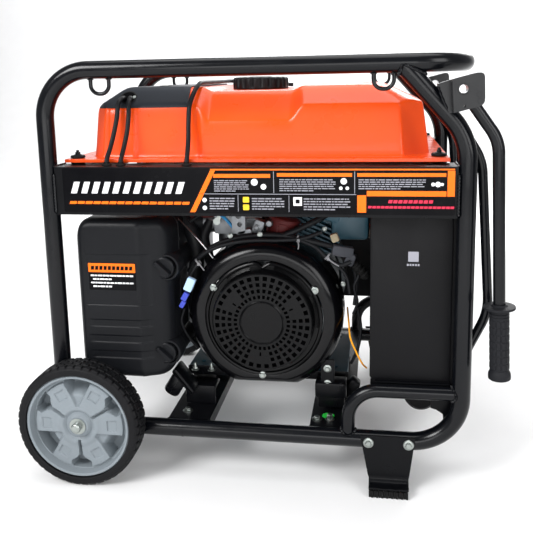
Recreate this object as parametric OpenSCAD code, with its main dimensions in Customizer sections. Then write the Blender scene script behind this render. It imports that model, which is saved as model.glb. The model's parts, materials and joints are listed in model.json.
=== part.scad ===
// Open-frame portable inverter generator: tube frame, fuel tank, engine, wheels and folding handles.
// Millimetres, +Z up. X runs along the frame, towards the handles. -Y is the engine-cover side.
// The origin lies on the ground under the middle of the whole machine.

/* [Frame] */
// Outside diameter of the main frame tube
tube_d = 32; // [28:1:34]
// Wall thickness of the main frame tube
tube_wall = 2.5; // [1.5:0.5:4]
// Distance between the left and right posts, centre to centre
frame_len = 746; // [740:1:752]
// Distance between the front and rear loops, centre to centre
frame_depth = 540; // [530:2:560]
// Height of the centre of the top rail
top_rail_z = 765; // [760:1:775]
// Height of the centre of the bottom rail
bottom_rail_z = 91; // [88:1:92]
// Centre-line radius of the large frame bends
bend_r = 86; // [80:1:90]
// Outside diameter of the sub-frame hoop tube
hoop_d = 25; // [22:1:27]

/* [Wheels] */
// Radius of the tyre
tyre_r = 117.5; // [117:0.5:118.5]
// Width of the tyre
tyre_w = 54; // [50:1:56]
// Radius of the plastic hub rim
hub_r = 100; // [96:1:101]
// Diameter of the axle
axle_d = 16; // [14:1:16]

/* [Handles] */
// Diameter of the handle tube
handle_d = 20; // [18:1:21]
// Length of the rubber grip
grip_len = 122; // [110:1:130]
// Outside diameter of the rubber grip
grip_d = 33; // [30:1:35]
// Radius of the hand guard disc
guard_r = 27; // [25:1:27]

/* [Fuel tank] */
// Height of the tank's mounting flange
flange_z = 600; // [598:1:604]
// Height of the tank's top face
tank_top_z = 730; // [720:1:732]
// Thickness of the tank's sheet
tank_wall = 2; // [1.5:0.5:3]
// Radius of the filler cap
cap_r = 58; // [50:1:60]

/* [Engine] */
// Sideways place of the crankshaft
crank_x = 2; // [0:1:4]
// Height of the crankshaft
crank_z = 293; // [290:1:296]
// Radius of the fan shroud
shroud_r = 150; // [146:1:152]
// Lean of the cylinder from upright, in degrees
lean = 25; // [20:1:27]

/* [Hidden] */
$fn = 72;
eps = 0.01;
fit = 0.05;
// A bend that isn't square is this much thicker than the straights, which run into it this far
step = 0.12;
lap = 0.5;
// Gap left for the weld bead where one tube meets another
weld_gap = 1;

// Frame places
tube_r = tube_d / 2;
post_r_x = 363;
post_l_x = post_r_x - frame_len;
side_y = frame_depth / 2;
low_bend_r = 56;
sleeve_x = -148;
upper_bend_r = 110;
diag_turn = 41.6;
diag_foot_z = top_rail_z - 125;
diag_top_z = top_rail_z - 3;
diag_top_x = post_r_x - (diag_top_z - diag_foot_z) * tan(diag_turn);
hoop_x = 164;
hoop_z = 185;
hoop_bend_r = 55;
hoop_r = hoop_d / 2;

// Beams and shelf
beam_z0 = 505;
beam_z1 = 593;
beam_y = 282;
beam_lip = 54;
beam_t = 2;
tank_rail_w = 24;
tank_rail_x = post_l_x + 34;
tank_rail_z0 = beam_z1 - beam_t - tank_rail_w;
engine_beam_w = 81;
engine_beam_x = [-180, 92];
engine_beam_z = 104;
shelf_z = hoop_z + hoop_r;
shelf_t = 2.5;

// Wheels and feet
wheel_x = -330;
wheel_z = tyre_r;
wheel_y0 = 291;
wheel_y1 = wheel_y0 + tyre_w;
foot_x = [201, 272];
foot_bolt_z = bottom_rail_z + 2;
foot_y = side_y + tube_r;
foot_t = 4;
pad_h = 14;

// Handles
handle_y = 298;
pivot = [348, 721];
handle_bend_r = 70;
handle_end = [422, 233];
handle_elbow = [407, 637];
lug_t = 12;
lug_h = 13;
lug_r = 12;
bush_r = 9;
bush_bore_r = 7;
plate_out_y = 313;
plate_in_y = 283;
plate_t = 3.5;
bow_d = 16;
bow_y = 256;

// Tank places
flange_t = 4;
flange_x = [-361, 337];
flange_y = 250;
tank_wall_y = 205;
tank_crown_y = 165;
shoulder_z = 695;
recess_z = 719;
recess_x = [-105, 72];
cap_x = -28;
cap_z0 = 721;
cap_h = 27;
neck_r = 34;
tank_bolt_xy = [[-342, 230], [320, 216]];
washer_h = 7;
lip_hose_y = 262;
hose_d = 8.5;
hose_x = [-274, -247, -124];

// Engine places
shroud_y = [-215, -120];
case_x = [-105, 105];
case_y = [-118, 70];
case_z = [158, 398];
base_x = [-165, 158];
base_y = [-148, 68];
base_t = 8;
shaft_d = 30;
alt_r = 142;
alt_y = [case_y[1], 180];
mount_xy = [[-140, -125], [133, -125], [-140, 45], [133, 45]];

// Air filter, muffler, control box
af_x = [-346, -168];
af_z = [182, 494];
af_y = [-265, -120];
knob_xz = [[-181, 398], [-184, 230]];
shield_x = [202, 345];
shield_y = [-256, -20];
shield_z = [200, 502];
box_x = [-150, 340];
box_y = [200, 258];
box_z = [215, 500];
switch_xz = [-105, 300];
breaker_xz = [-105, 390];
choke_xz = [-100, 466];

// ---- Tube helpers: a bent tube follows corner points [x, z] in an upright plane ----
function heading(a, b) = atan2(b[1] - a[1], b[0] - a[0]);
function wrap(t) = t > 180 ? t - 360 : t <= -180 ? t + 360 : t;
function turn(p, i) = wrap(heading(p[i], p[i + 1]) - heading(p[i - 1], p[i]));
function square_turn(p, i) = abs(abs(turn(p, i)) - 90) < eps;
function cut(p, r, i) = (i == 0 || i == len(p) - 1) ? 0
    : square_turn(p, i) ? r[i] : r[i] * tan(abs(turn(p, i)) / 2) - lap;

module section(d, wall) {
    difference() {
        circle(d = d);
        if (wall > 0) circle(d = d - 2 * wall);
    }
}

module straight(a, b, skip_a, skip_b, d, wall) {
    translate([a[0], a[1], 0])
        rotate([0, 0, heading(a, b)])
            translate([skip_a, 0, 0])
                rotate([90, 0, 90])
                    linear_extrude(norm(b - a) - skip_a - skip_b) section(d, wall);
}

module elbow(p, i, r, d, wall) {
    t = turn(p, i);
    side = sign(t);
    start = heading(p[i - 1], p[i]) - 90 * side + min(t, 0);
    grow = square_turn(p, i) ? 0 : step;
    translate([p[i][0], p[i][1], 0])
        rotate([0, 0, heading(p[i - 1], p[i])])
            translate([-r * tan(abs(t) / 2), side * r, 0])
                rotate([0, 0, start - heading(p[i - 1], p[i])])
                    rotate_extrude(angle = abs(t)) translate([r, 0])
                        section(d + 2 * grow, wall > 0 ? wall + 2 * grow : 0);
}

module bent_tube(p, r, d, wall) {
    rotate([90, 0, 0]) {
        for (i = [0 : len(p) - 2]) straight(p[i], p[i + 1], cut(p, r, i), cut(p, r, i + 1), d, wall);
        for (i = [1 : len(p) - 2]) elbow(p, i, r[i], d, wall);
    }
}

module at_y(y) { translate([0, y, 0]) children(); }
module both_sides() {
    children();
    mirror([0, 1, 0]) children();
}
// A round bar along Y from y0 to y1 at [x, z]
module bar_y(x, z, r, y0, y1) {
    translate([x, y0, z]) rotate([-90, 0, 0]) cylinder(r = r, h = y1 - y0);
}
module bar_x(x0, x1, y, z, r) { translate([x0, y, z]) rotate([0, 90, 0]) cylinder(r = r, h = x1 - x0); }
module bar_z(x, y, r, z0, z1) { translate([x, y, z0]) cylinder(r = r, h = z1 - z0); }
module block(x, y, z) { translate([x[0], y[0], z[0]]) cube([x[1] - x[0], y[1] - y[0], z[1] - z[0]]); }
// A plate in the XZ plane between y0 and y1 from an outline of [x, z]
module plate_xz(y0, y1) { translate([0, y1, 0]) rotate([90, 0, 0]) linear_extrude(y1 - y0) children(); }

// ---- Frame ----
module left_half(wall) {
    at_y(-side_y)
        bent_tube([[sleeve_x, bottom_rail_z], [post_l_x, bottom_rail_z], [post_l_x, top_rail_z],
            [post_r_x - bend_r, top_rail_z]], [0, low_bend_r, bend_r, 0], tube_d, wall);
}
module rail_corner(wall) {
    translate([post_r_x - bend_r, bend_r - side_y, top_rail_z])
        rotate([0, 0, -90])
            rotate_extrude(angle = 90) translate([bend_r, 0]) section(tube_d, wall);
}
module top_hoop() {
    color("#22252b") {
        both_sides() {
            left_half(tube_wall);
            rail_corner(tube_wall);
        }
        translate([post_r_x, bend_r - side_y, top_rail_z])
            rotate([-90, 0, 0]) linear_extrude(frame_depth - 2 * bend_r) section(tube_d, tube_wall);
    }
}
module side_loop_tube(wall) {
    at_y(-side_y)
        bent_tube([[sleeve_x, bottom_rail_z], [post_r_x, bottom_rail_z], [post_r_x, diag_foot_z],
            [diag_top_x, diag_top_z]], [0, bend_r, upper_bend_r, 0], tube_d, wall);
}
module side_loop() {
    color("#22252b") difference() {
        side_loop_tube(tube_wall);
        bar_x(diag_top_x - 60, diag_top_x + 60, -side_y, top_rail_z, tube_r + weld_gap);
        for (x = foot_x) bar_y(x, foot_bolt_z, 4.2, -side_y - tube_r - 1, -side_y);
    }
}
module front_side_loop() { side_loop(); }
module rear_side_loop() { mirror([0, 1, 0]) side_loop(); }
module subframe_hoops() {
    color("#24272d") both_sides() difference() {
        at_y(-side_y)
            bent_tube([[hoop_x, bottom_rail_z], [hoop_x, hoop_z], [post_r_x, hoop_z]],
                [0, hoop_bend_r, 0], hoop_d, 2);
        bar_x(hoop_x - 40, hoop_x + 40, -side_y, bottom_rail_z, tube_r + weld_gap);
        bar_z(post_r_x, -side_y, tube_r + weld_gap, hoop_z - 30, hoop_z + 30);
    }
}
module tank_rails() {
    z0 = tank_rail_z0;
    z1 = beam_z1 - beam_t;
    color("#24272d") for (x = [tank_rail_x, post_r_x - 34 - tank_rail_w]) difference() {
        block([x, x + tank_rail_w], [2 - beam_y, beam_y - 2], [z0, z1]);
        block([x + 2, x + tank_rail_w - 2], [-beam_y, beam_y], [z0 + 2, z1 - 2]);
        both_sides() for (b = tank_bolt_xy) bar_z(b[0], -b[1], 4.2, z1 - 9, z1 + 9);
    }
}
module panel_beams() {
    x0 = post_l_x + tube_r;
    x1 = post_r_x - tube_r;
    color("#1b1d21") both_sides() difference() {
        union() {
            block([x0, x1], [-beam_y, -beam_y + beam_t], [beam_z0, beam_z1]);
            block([x0, x1], [-beam_y, -beam_y + beam_lip], [beam_z1 - beam_t, beam_z1]);
            block([x0, x1], [-beam_y, -beam_y + 20], [beam_z0, beam_z0 + beam_t]);
        }
        for (x = hose_x) bar_z(x, -lip_hose_y, 6, beam_z1 - 9, beam_z1 + 9);
        for (b = tank_bolt_xy) bar_z(b[0], -b[1], 4.2, beam_z1 - 9, beam_z1 + 9);
        for (x = [x0, x1]) bar_z(x == x0 ? post_l_x : post_r_x, -side_y, tube_r, beam_z0 - 9, beam_z1 + 9);
    }
}
module engine_beams() {
    lip = 22;
    end_y = side_y - sqrt(pow(tube_r, 2) - pow(engine_beam_z - bottom_rail_z - 4, 2)) + 1;
    color("#17191d") for (x = engine_beam_x) difference() {
        block([x, x + engine_beam_w], [-end_y, end_y], [engine_beam_z - lip, engine_beam_z]);
        block([x + 4, x + engine_beam_w - 4], [-end_y - 1, end_y + 1],
            [engine_beam_z - lip - 1, engine_beam_z - 4]);
        both_sides() bar_x(x - 1, x + engine_beam_w + 1, -side_y, bottom_rail_z, tube_r);
        for (m = mount_xy) bar_z(m[0], m[1], 5.2, 90, 110);
    }
}
module shelf() {
    color("#1b1d21") difference() {
        block([212, 344], [6 - side_y, side_y - 6], [shelf_z, shelf_z + shelf_t]);
        for (s = [-1, 1]) bar_z(post_r_x, s * side_y, tube_r, shelf_z - 5, shelf_z + 9);
        for (y = [-110 : 44 : 154]) block([232, 318], [y, y + 14], [shelf_z - 1, shelf_z + shelf_t + 1]);
    }
}
module lifting_loops() {
    loop_r = 17;
    loop_z = 739.5;
    color("#22252b") both_sides() for (x = [-275, 223]) difference() {
        at_y(-side_y) bent_tube([[x - loop_r, top_rail_z - 8], [x - loop_r, loop_z - loop_r],
            [x + loop_r, loop_z - loop_r], [x + loop_r, top_rail_z - 8]],
            [0, loop_r - 1, loop_r - 1, 0], 7, 0);
        bar_x(x - 60, x + 60, -side_y, top_rail_z, tube_r);
    }
}
module bracket_outline() { polygon([[334, 737], [380, 748.5], [382, 695], [338, 684]]); }
module handle_brackets() {
    color("#2a2d33") both_sides() difference() {
        union() {
            plate_xz(-plate_out_y, plate_t - plate_out_y) bracket_outline();
            plate_xz(-plate_in_y - plate_t, -plate_in_y) bracket_outline();
            plate_xz(-plate_out_y, -plate_in_y)
                polygon([[334, 737], [330, 736], [334, 683], [338, 684]]);
            plate_xz(-plate_in_y - plate_t, -plate_in_y + 12)
                polygon([[334, 737], [309, 729], [329, 681], [338, 684]]);
        }
        side_loop_tube(0);
        bar_y(pivot[0], pivot[1], bush_r, -plate_out_y - 1, -plate_in_y + 1);
        bar_y(351, 693.5, 2, -plate_out_y - 1, -plate_out_y + plate_t + 1);
    }
}
module pivot_bushes() {
    color("#8b8f94") both_sides() difference() {
        bar_y(pivot[0], pivot[1], bush_r, -plate_out_y - 0.5, -plate_in_y + 0.5);
        bar_y(pivot[0], pivot[1], bush_bore_r, -plate_out_y - 1, -plate_in_y + 1);
    }
}
module guard_bows() {
    color("#22252b") both_sides() difference() {
        at_y(-bow_y)
            bent_tube([[336, 686], [388, 600], [406, 335], [366, 250]], [0, 90, 100, 0], bow_d, 0);
        side_loop_tube(0);
    }
}

// ---- Running gear ----
module axle() {
    color("#9aa0a5") bar_y(wheel_x, wheel_z, axle_d / 2, -wheel_y1 - 1, wheel_y1 + 1);
}
module axle_brackets() {
    y1 = tube_r - side_y + 6;
    color("#24272d") both_sides() difference() {
        plate_xz(tube_r - side_y, y1)
            polygon([[wheel_x - 22, 84], [wheel_x + 26, 84], [wheel_x + 15, 134], [wheel_x - 15, 134]]);
        bar_y(wheel_x, wheel_z, axle_d / 2 + fit / 2, -side_y, 0);
    }
}
module axle_caps() {
    color("#d7dadc") both_sides() translate([wheel_x, -wheel_y1 - 1, wheel_z]) rotate([90, 0, 0]) {
        cylinder(r = 10, h = 3);
        translate([0, 0, 3]) cylinder(r1 = 10, r2 = 6, h = 3);
    }
}
module wheel_hub() {
    depth = wheel_y1 - wheel_y0;
    color("#a9adb2") translate([wheel_x, -wheel_y0, wheel_z]) rotate([90, 0, 0]) difference() {
        union() {
            rotate_extrude() polygon([[hub_r - 7, 0], [hub_r, 0], [hub_r, depth - 2], [hub_r - 2, depth],
                [hub_r - 7, depth]]);
            translate([0, 0, depth - 22]) cylinder(r = hub_r - 4, h = 14);
            cylinder(r = 24, h = depth - 6);
            translate([0, 0, depth - 8]) cylinder(r = 36, h = 5);
        }
        translate([0, 0, -1]) cylinder(d = axle_d + 2 * fit, h = depth + 2);
        for (a = [30 : 60 : 330]) rotate([0, 0, a])
            translate([44, 0, depth - 23]) linear_extrude(20)
                polygon([[0, -6], [0, 6], [40, 19], [44, 0], [40, -19]]);
    }
}
module wheel_tyre() {
    w = tyre_w;
    color("#1d1d1f") translate([wheel_x, -wheel_y0, wheel_z]) rotate([90, 0, 0])
        rotate_extrude() polygon([[hub_r, 1], [hub_r + 8, 0], [tyre_r - 5, 4], [tyre_r - 1, 10],
            [tyre_r, w / 2], [tyre_r - 1, w - 10], [tyre_r - 5, w - 4], [hub_r + 8, w], [hub_r, w - 1]]);
}
module tyre_front() { wheel_tyre(); }
module hub_front() { wheel_hub(); }
module tyre_rear() { mirror([0, 1, 0]) wheel_tyre(); }
module hub_rear() { mirror([0, 1, 0]) wheel_hub(); }
module foot_plates() {
    toe = 28;
    color("#1b1d21") both_sides() difference() {
        union() {
            plate_xz(-foot_y - foot_t, -foot_y)
                polygon([[186, 106], [284, 106], [272, pad_h], [202, pad_h]]);
            block([202, 272], [-foot_y - toe, -foot_y], [pad_h, pad_h + foot_t]);
        }
        for (x = foot_x) bar_y(x, foot_bolt_z, 4.2, -foot_y - foot_t - 1, -foot_y + 1);
    }
}
module foot_pads() {
    color("#202124") both_sides() difference() {
        block([202, 272], [-foot_y - 30, -foot_y + 2], [0, pad_h]);
        for (x = [210 : 11 : 265]) block([x, x + 4], [-foot_y - 31, -foot_y + 3], [-1, 3]);
    }
}
module frame_bolts() {
    color("#cfd3d4") both_sides() {
        for (x = foot_x) {
            bar_y(x, foot_bolt_z, 11, -foot_y - foot_t - 3, -foot_y - foot_t);
            bar_y(x, foot_bolt_z, 7, -foot_y - foot_t - 7, -foot_y - foot_t - 3);
            bar_y(x, foot_bolt_z, 4, -foot_y - foot_t, -foot_y + 12);
        }
        for (b = tank_bolt_xy) {
            bar_z(b[0], -b[1], 7, flange_z + flange_t + 5, flange_z + flange_t + 10);
            bar_z(b[0], -b[1], 4, beam_z1 - 12, flange_z + flange_t + 5);
        }
    }
}

// ---- Folding handles ----
handle_path = [pivot, handle_elbow, handle_end];
module handle_arm() {
    lug_len = 34;
    a = heading(pivot, handle_elbow);
    color("#22252b") difference() {
        union() {
            at_y(-handle_y) difference() {
                bent_tube(handle_path, [0, handle_bend_r, 0], handle_d, 2);
                translate([pivot[0], 0, pivot[1]]) rotate([0, -a, 0])
                    translate([-20, -20, -20]) cube([lug_len - 6 + 20, 40, 40]);
            }
            translate([pivot[0], -handle_y, pivot[1]]) rotate([0, -a, 0]) {
                rotate([90, 0, 0]) cylinder(r = lug_r, h = lug_t, center = true);
                translate([0, -lug_t / 2, -lug_h / 2]) cube([lug_len, lug_t, lug_h]);
            }
        }
        bar_y(pivot[0], pivot[1], bush_r + fit, -handle_y - 20, -handle_y + 20);
    }
}
module grip() {
    a = heading(handle_end, handle_elbow);
    color("#26282c") translate([handle_end[0], -handle_y, handle_end[1]]) rotate([0, 90 - a, 0])
        difference() {
            union() {
                translate([0, 0, -3]) cylinder(d = grip_d + 3, h = 12);
                cylinder(d = grip_d, h = grip_len);
                translate([0, 0, grip_len]) cylinder(r = guard_r, h = 5);
            }
            cylinder(d = handle_d, h = grip_len + 20);
        }
}
module handle_front() { handle_arm(); }
module grip_front() { grip(); }
module handle_rear() { mirror([0, 1, 0]) handle_arm(); }
module grip_rear() { mirror([0, 1, 0]) grip(); }

// ---- Fuel tank ----
// The domed body grown outwards by g
module tank_form(g) {
    intersection() {
        plate_xz(-flange_y, flange_y)
            polygon([[-322 - g, flange_z + 1], [-318 - g, 692], [-265 - g, tank_top_z - 2 + g],
                [recess_x[0] - 12, tank_top_z + g], [recess_x[0] + g, recess_z + g],
                [recess_x[1] - g, recess_z + g], [recess_x[1] + 10, tank_top_z + g],
                [228 + g, tank_top_z + g], [294 + g, 698], [307 + g, flange_z + 1]]);
        translate([-400, 0, 0]) rotate([90, 0, 90]) linear_extrude(800)
            polygon([[-tank_wall_y - 14 - g, flange_z], [-tank_wall_y - g, shoulder_z],
                [-tank_crown_y - g / 2, tank_top_z + g], [tank_crown_y + g / 2, tank_top_z + g],
                [tank_wall_y + g, shoulder_z], [tank_wall_y + 14 + g, flange_z]]);
    }
}
module fuel_tank() {
    color("#ff6a13") difference() {
        union() {
            tank_form(0);
            block(flange_x, [-flange_y, flange_y], [flange_z, flange_z + flange_t]);
            bar_z(cap_x, 0, neck_r + 3, recess_z - 4, recess_z + 9);
        }
        difference() {
            tank_form(-tank_wall);
            block([-400, 400], [-300, 300], [flange_z - 1, flange_z + tank_wall]);
        }
        bar_z(cap_x, 0, neck_r - 4, recess_z - 9, recess_z + 12);
        both_sides() for (b = tank_bolt_xy) bar_z(b[0], -b[1], 4.3, flange_z - 1, flange_z + 9);
    }
}
module filler_cap() {
    ribs = 24;
    color("#1a1b1d") difference() {
        union() {
            bar_z(cap_x, 0, cap_r, cap_z0 + 2, cap_z0 + cap_h - 4);
            translate([cap_x, 0, cap_z0 + cap_h - 4]) cylinder(r1 = cap_r, r2 = cap_r - 5, h = 4);
        }
        bar_z(cap_x, 0, neck_r + 3.5, cap_z0, recess_z + 10);
        for (i = [0 : ribs - 1]) translate([cap_x, 0, cap_z0]) rotate([0, 0, i * 360 / ribs])
            translate([cap_r + 1, 0, 1]) cylinder(r = 3.4, h = cap_h - 6, $fn = 16);
    }
}
module tank_plate() {
    color("#3b3f47") difference() {
        intersection() {
            tank_form(3);
            block([-330, -138], [-flange_y, flange_y], [691, 760]);
        }
        tank_form(0.8);
        both_sides() translate([-252, -186, 708]) rotate([-45, 0, 0]) cylinder(r = 14, h = 60, center = true);
        bar_z(-189, -150, 8, 700, 760);
    }
}
module tank_washers() {
    color("#151515") both_sides() for (b = tank_bolt_xy) difference() {
        union() {
            bar_z(b[0], -b[1], 13, beam_z1, flange_z);
            bar_z(b[0], -b[1], 12, flange_z + flange_t, flange_z + flange_t + 5);
        }
        bar_z(b[0], -b[1], 4, beam_z1 - 1, flange_z + 20);
    }
}
// Hose centre-line points, chosen by hand
hose_a = [[-259, -191, 712], [-260, -201, 712], [-263, -215, 702], [-264, -222, 680], [-268, -232, 650],
    [-272, -246, 622], [-274, -262, 603], [-274, -262, 586], [-272, -262, 565], [-255, -250, 545],
    [-215, -215, 532], [-170, -170, 522], [-130, -130, 510], [-105, -106, 500], [-98, -98, 488],
    [-98, -98, 478]];
hose_b = [[-246, -191, 712], [-245, -201, 712], [-243, -214, 700], [-242, -221, 680], [-243, -232, 650],
    [-246, -246, 622], [-247, -262, 603], [-247, -262, 586], [-244, -262, 567], [-228, -248, 556],
    [-190, -210, 546], [-150, -165, 534], [-112, -115, 518], [-84, -94, 502], [-78, -88, 489],
    [-78, -88, 478]];
hose_c = [[20, 175, 726], [-30, 176, 727], [-80, 174, 731], [-118, 150, 737], [-124, 100, 738],
    [-122, 0, 738], [-119, -100, 738], [-117, -150, 738], [-118, -172, 735], [-122, -194, 722],
    [-127, -213, 698],
    [-128, -222, 668], [-126, -236, 636], [-124, -254, 612], [-124, -262, 596], [-124, -262, 572],
    [-135, -250, 548], [-165, -225, 528], [-188, -200, 516], [-198, -173, 509], [-198, -156, 500],
    [-198, -156, 491]];
function tangent(p, i) = let (a = p[max(i - 1, 0)], b = p[min(i + 1, len(p) - 1)]) (b - a) / norm(b - a);
function side_dir(t) = let (c = cross(t, abs(t[0]) < 0.9 ? [1, 0, 0] : [0, 1, 0])) c / norm(c);
module hose(p, d, sides) {
    n = len(p);
    rings = [for (i = [0 : n - 1], k = [0 : sides - 1])
        let (t = tangent(p, i), u = side_dir(t), v = cross(t, u), a = 360 * k / sides)
            p[i] + d / 2 * (cos(a) * u + sin(a) * v)];
    walls = [for (i = [0 : n - 2], k = [0 : sides - 1])
        let (a = i * sides + k, b = i * sides + (k + 1) % sides) [a, b, b + sides, a + sides]];
    polyhedron(rings, concat(walls, [[for (k = [sides - 1 : -1 : 0]) k]],
        [[for (k = [0 : sides - 1]) (n - 1) * sides + k]]), 4);
}
module tank_hoses() {
    color("#2b2d31") {
        hose(hose_a, hose_d, 8);
        hose(hose_b, hose_d, 8);
        hose(hose_c, hose_d, 8);
    }
}
module hose_grommets() {
    color("#111214") for (x = hose_x) difference() {
        union() {
            bar_z(x, -lip_hose_y, 9, beam_z1, beam_z1 + 3);
            bar_z(x, -lip_hose_y, 6, beam_z1 - 5, beam_z1);
        }
        bar_z(x, -lip_hose_y, hose_d / 2, beam_z1 - 9, beam_z1 + 9);
    }
}

// ---- Engine and alternator ----
module crankcase() {
    color("#1d4a5c") difference() {
        union() {
            block(case_x, case_y, case_z);
            block(base_x, [base_y[0], base_y[0] + 46], [150, case_z[0]]);
            block(base_x, [base_y[1] - 46, base_y[1]], [150, case_z[0]]);
            block(base_x, base_y, [case_z[0], case_z[0] + base_t]);
        }
        block([case_x[0] + 12, case_x[1] - 12], [case_y[0] + 14, case_y[1] - 14],
            [case_z[0] + 14, case_z[1] - 12]);
        bar_y(crank_x, crank_z, shaft_d / 2 + fit, case_y[0] - 1, case_y[1] + 1);
        translate([crank_x, 0, crank_z]) rotate([0, lean, 0]) translate([0, -39, 80])
            cylinder(r = 46, h = 80);
        for (m = mount_xy) bar_z(m[0], m[1], 5, 140, 172);
    }
}
module cylinder_shape(r, y0, y1, z0, z1) {
    translate([crank_x, 0, crank_z]) rotate([0, lean, 0])
        translate([-r, y0, z0]) cube([2 * r, y1 - y0, z1 - z0]);
}
module cylinder_axis() {
    translate([crank_x, 0, crank_z]) rotate([0, lean, 0]) translate([0, -39, 0]) children();
}
module engine_cylinder() {
    color("#235a6e") difference() {
        union() {
            cylinder_axis() cylinder(r = 58, h = 196);
            for (i = [0 : 6]) cylinder_shape(72, -108, 30, 134 + i * 9, 138 + i * 9);
            cylinder_shape(62, -98, 20, 196, 214);
        }
        cylinder_axis() translate([0, 0, -60]) cylinder(r = 44, h = 250);
        block([-300, 300], [-300, 300], [0, case_z[1]]);
    }
}
module rocker_cover() {
    color("#24262b") union() {
        cylinder_shape(60, -94, 16, 214, 236);
        cylinder_shape(50, -84, 6, 236, 246);
    }
}
module crank_plane(y) { translate([crank_x, y, crank_z]) rotate([90, 0, 0]) children(); }
module fan_shroud() {
    t = 2.5;
    lead = 14;
    front_r = shroud_r - 16;
    depth = shroud_y[1] - shroud_y[0];
    color("#232428") difference() {
        crank_plane(shroud_y[1]) difference() {
            union() {
                cylinder(r = shroud_r, h = depth - lead);
                translate([0, 0, depth - lead]) cylinder(r1 = shroud_r, r2 = front_r, h = lead);
            }
            translate([0, 0, -1]) cylinder(r = shroud_r - t, h = depth - lead - t + 1);
            translate([0, 0, depth - lead - t]) cylinder(r1 = shroud_r - t, r2 = front_r - t, h = lead);
            cylinder(r = 112, h = depth + 5);
        }
        block([-200, 200], [base_y[0], 0], [0, case_z[0] + base_t]);
    }
}
module fan_grille() {
    slots = 32;
    color("#1f2023") crank_plane(shroud_y[0]) difference() {
        union() {
            cylinder(r = 118, h = 2);
            difference() {
                cylinder(r = 113, h = 8);
                translate([0, 0, -1]) cylinder(r = 110, h = 7);
            }
            cylinder(r1 = 100, r2 = 92, h = 20);
            translate([0, 0, 20]) cylinder(r = 44, h = 4);
        }
        translate([0, 0, -3]) cylinder(r = 90, h = 20);
        difference() {
            translate([0, 0, -3]) cylinder(r = 109, h = 9);
            translate([0, 0, -3]) cylinder(r = 97, h = 9);
        }
        for (ring = [0 : 3]) for (i = [0 : slots - 1]) rotate([0, 0, i * 360 / slots])
            translate([50 + ring * 10.5, -2.6 - ring * 0.5, 15])
                cube([7, 5.2 + ring, 8]);
    }
}
module flywheel() {
    blades = 16;
    color("#6e7276") crank_plane(-160) difference() {
        union() {
            cylinder(r = 104, h = 16);
            cylinder(r = 32, h = 30);
            for (i = [0 : blades - 1]) rotate([0, 0, i * 360 / blades])
                translate([60, -1.5, 15]) cube([42, 3, 23]);
        }
        translate([0, 0, -1]) cylinder(d = shaft_d, h = 60);
    }
}
module crankshaft() {
    color("#85898c") union() {
        bar_y(crank_x, crank_z, shaft_d / 2, -192, 152);
        bar_y(crank_x, crank_z, 42, -80, -58);
        bar_y(crank_x, crank_z, 42, -20, 2);
    }
}
module rotor() {
    color("#5c6064") crank_plane(150) difference() {
        cylinder(r = 128, h = 66);
        translate([0, 0, -1]) cylinder(r = 118, h = 59);
        cylinder(d = shaft_d, h = 70);
    }
}
module stator() {
    teeth = 18;
    color("#7a4a2c") crank_plane(146) difference() {
        cylinder(r = 115, h = 46);
        translate([0, 0, -1]) cylinder(r = 58, h = 50);
        for (i = [0 : teeth - 1]) rotate([0, 0, i * 360 / teeth])
            translate([84, -4, -1]) cube([40, 8, 50]);
    }
}
module alternator_housing() {
    color("#7d8287") difference() {
        union() {
            bar_y(crank_x, crank_z, alt_r, alt_y[0], alt_y[1]);
            for (a = [45 : 90 : 315]) translate([crank_x, alt_y[0], crank_z]) rotate([0, a, 0])
                translate([alt_r - 8, 0, -9]) cube([14, 14, 18]);
        }
        difference() {
            bar_y(crank_x, crank_z, alt_r - 8, alt_y[0] - 1, alt_y[1] - 8);
            bar_y(crank_x, crank_z, 58, alt_y[1] - 84, alt_y[1]);
        }
        bar_y(crank_x, crank_z, shaft_d / 2 + fit, alt_y[0], alt_y[1] - 20);
        for (a = [0 : 20 : 340]) translate([crank_x, alt_y[1] - 12, crank_z]) rotate([0, a, 0])
            translate([72, 0, -4]) cube([52, 20, 8]);
    }
}
module starter_motor() {
    color("#2a2c30") union() {
        bar_y(-140, 222, 30, -112, 18);
        bar_y(-140, 222, 34, -112, -90);
        bar_y(-164, 252, 16, -80, -10);
        block([-116, -105], [-110, -90], [198, 246]);
    }
}
module carburettor() {
    color("#9b9fa2") difference() {
        union() {
            block([-110, -62], [-115, -65], [436, 478]);
            bar_z(-86, -90, 22, 412, 436);
            bar_x(-135, -62, -90, 456, 22);
            block([-62, -14], [-112, -68], [440, 472]);
        }
        bar_x(-136, -13, -90, 456, 14);
        bar_y(choke_xz[0], choke_xz[1], 3 + fit, -122, -106);
        cylinder_shape(72.2, -108.5, 30.5, 128, 200);
    }
}
module choke_lever() {
    color("#b8bcc0") union() {
        bar_y(choke_xz[0], choke_xz[1], 3, -140, -107);
        bar_y(choke_xz[0], choke_xz[1], 7, -140, -136);
        translate([choke_xz[0], -140, choke_xz[1]]) rotate([0, -60, 0])
            translate([0, 0, -4]) cube([34, 3, 8]);
    }
}
module engine_mounts() {
    color("#18191b") for (m = mount_xy) {
        bar_z(m[0], m[1], 24, engine_beam_z, 150);
        bar_z(m[0], m[1], 4.8, engine_beam_z - 12, 172);
        bar_z(m[0], m[1], 9, case_z[0] + base_t, case_z[0] + base_t + 6);
    }
}

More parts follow.
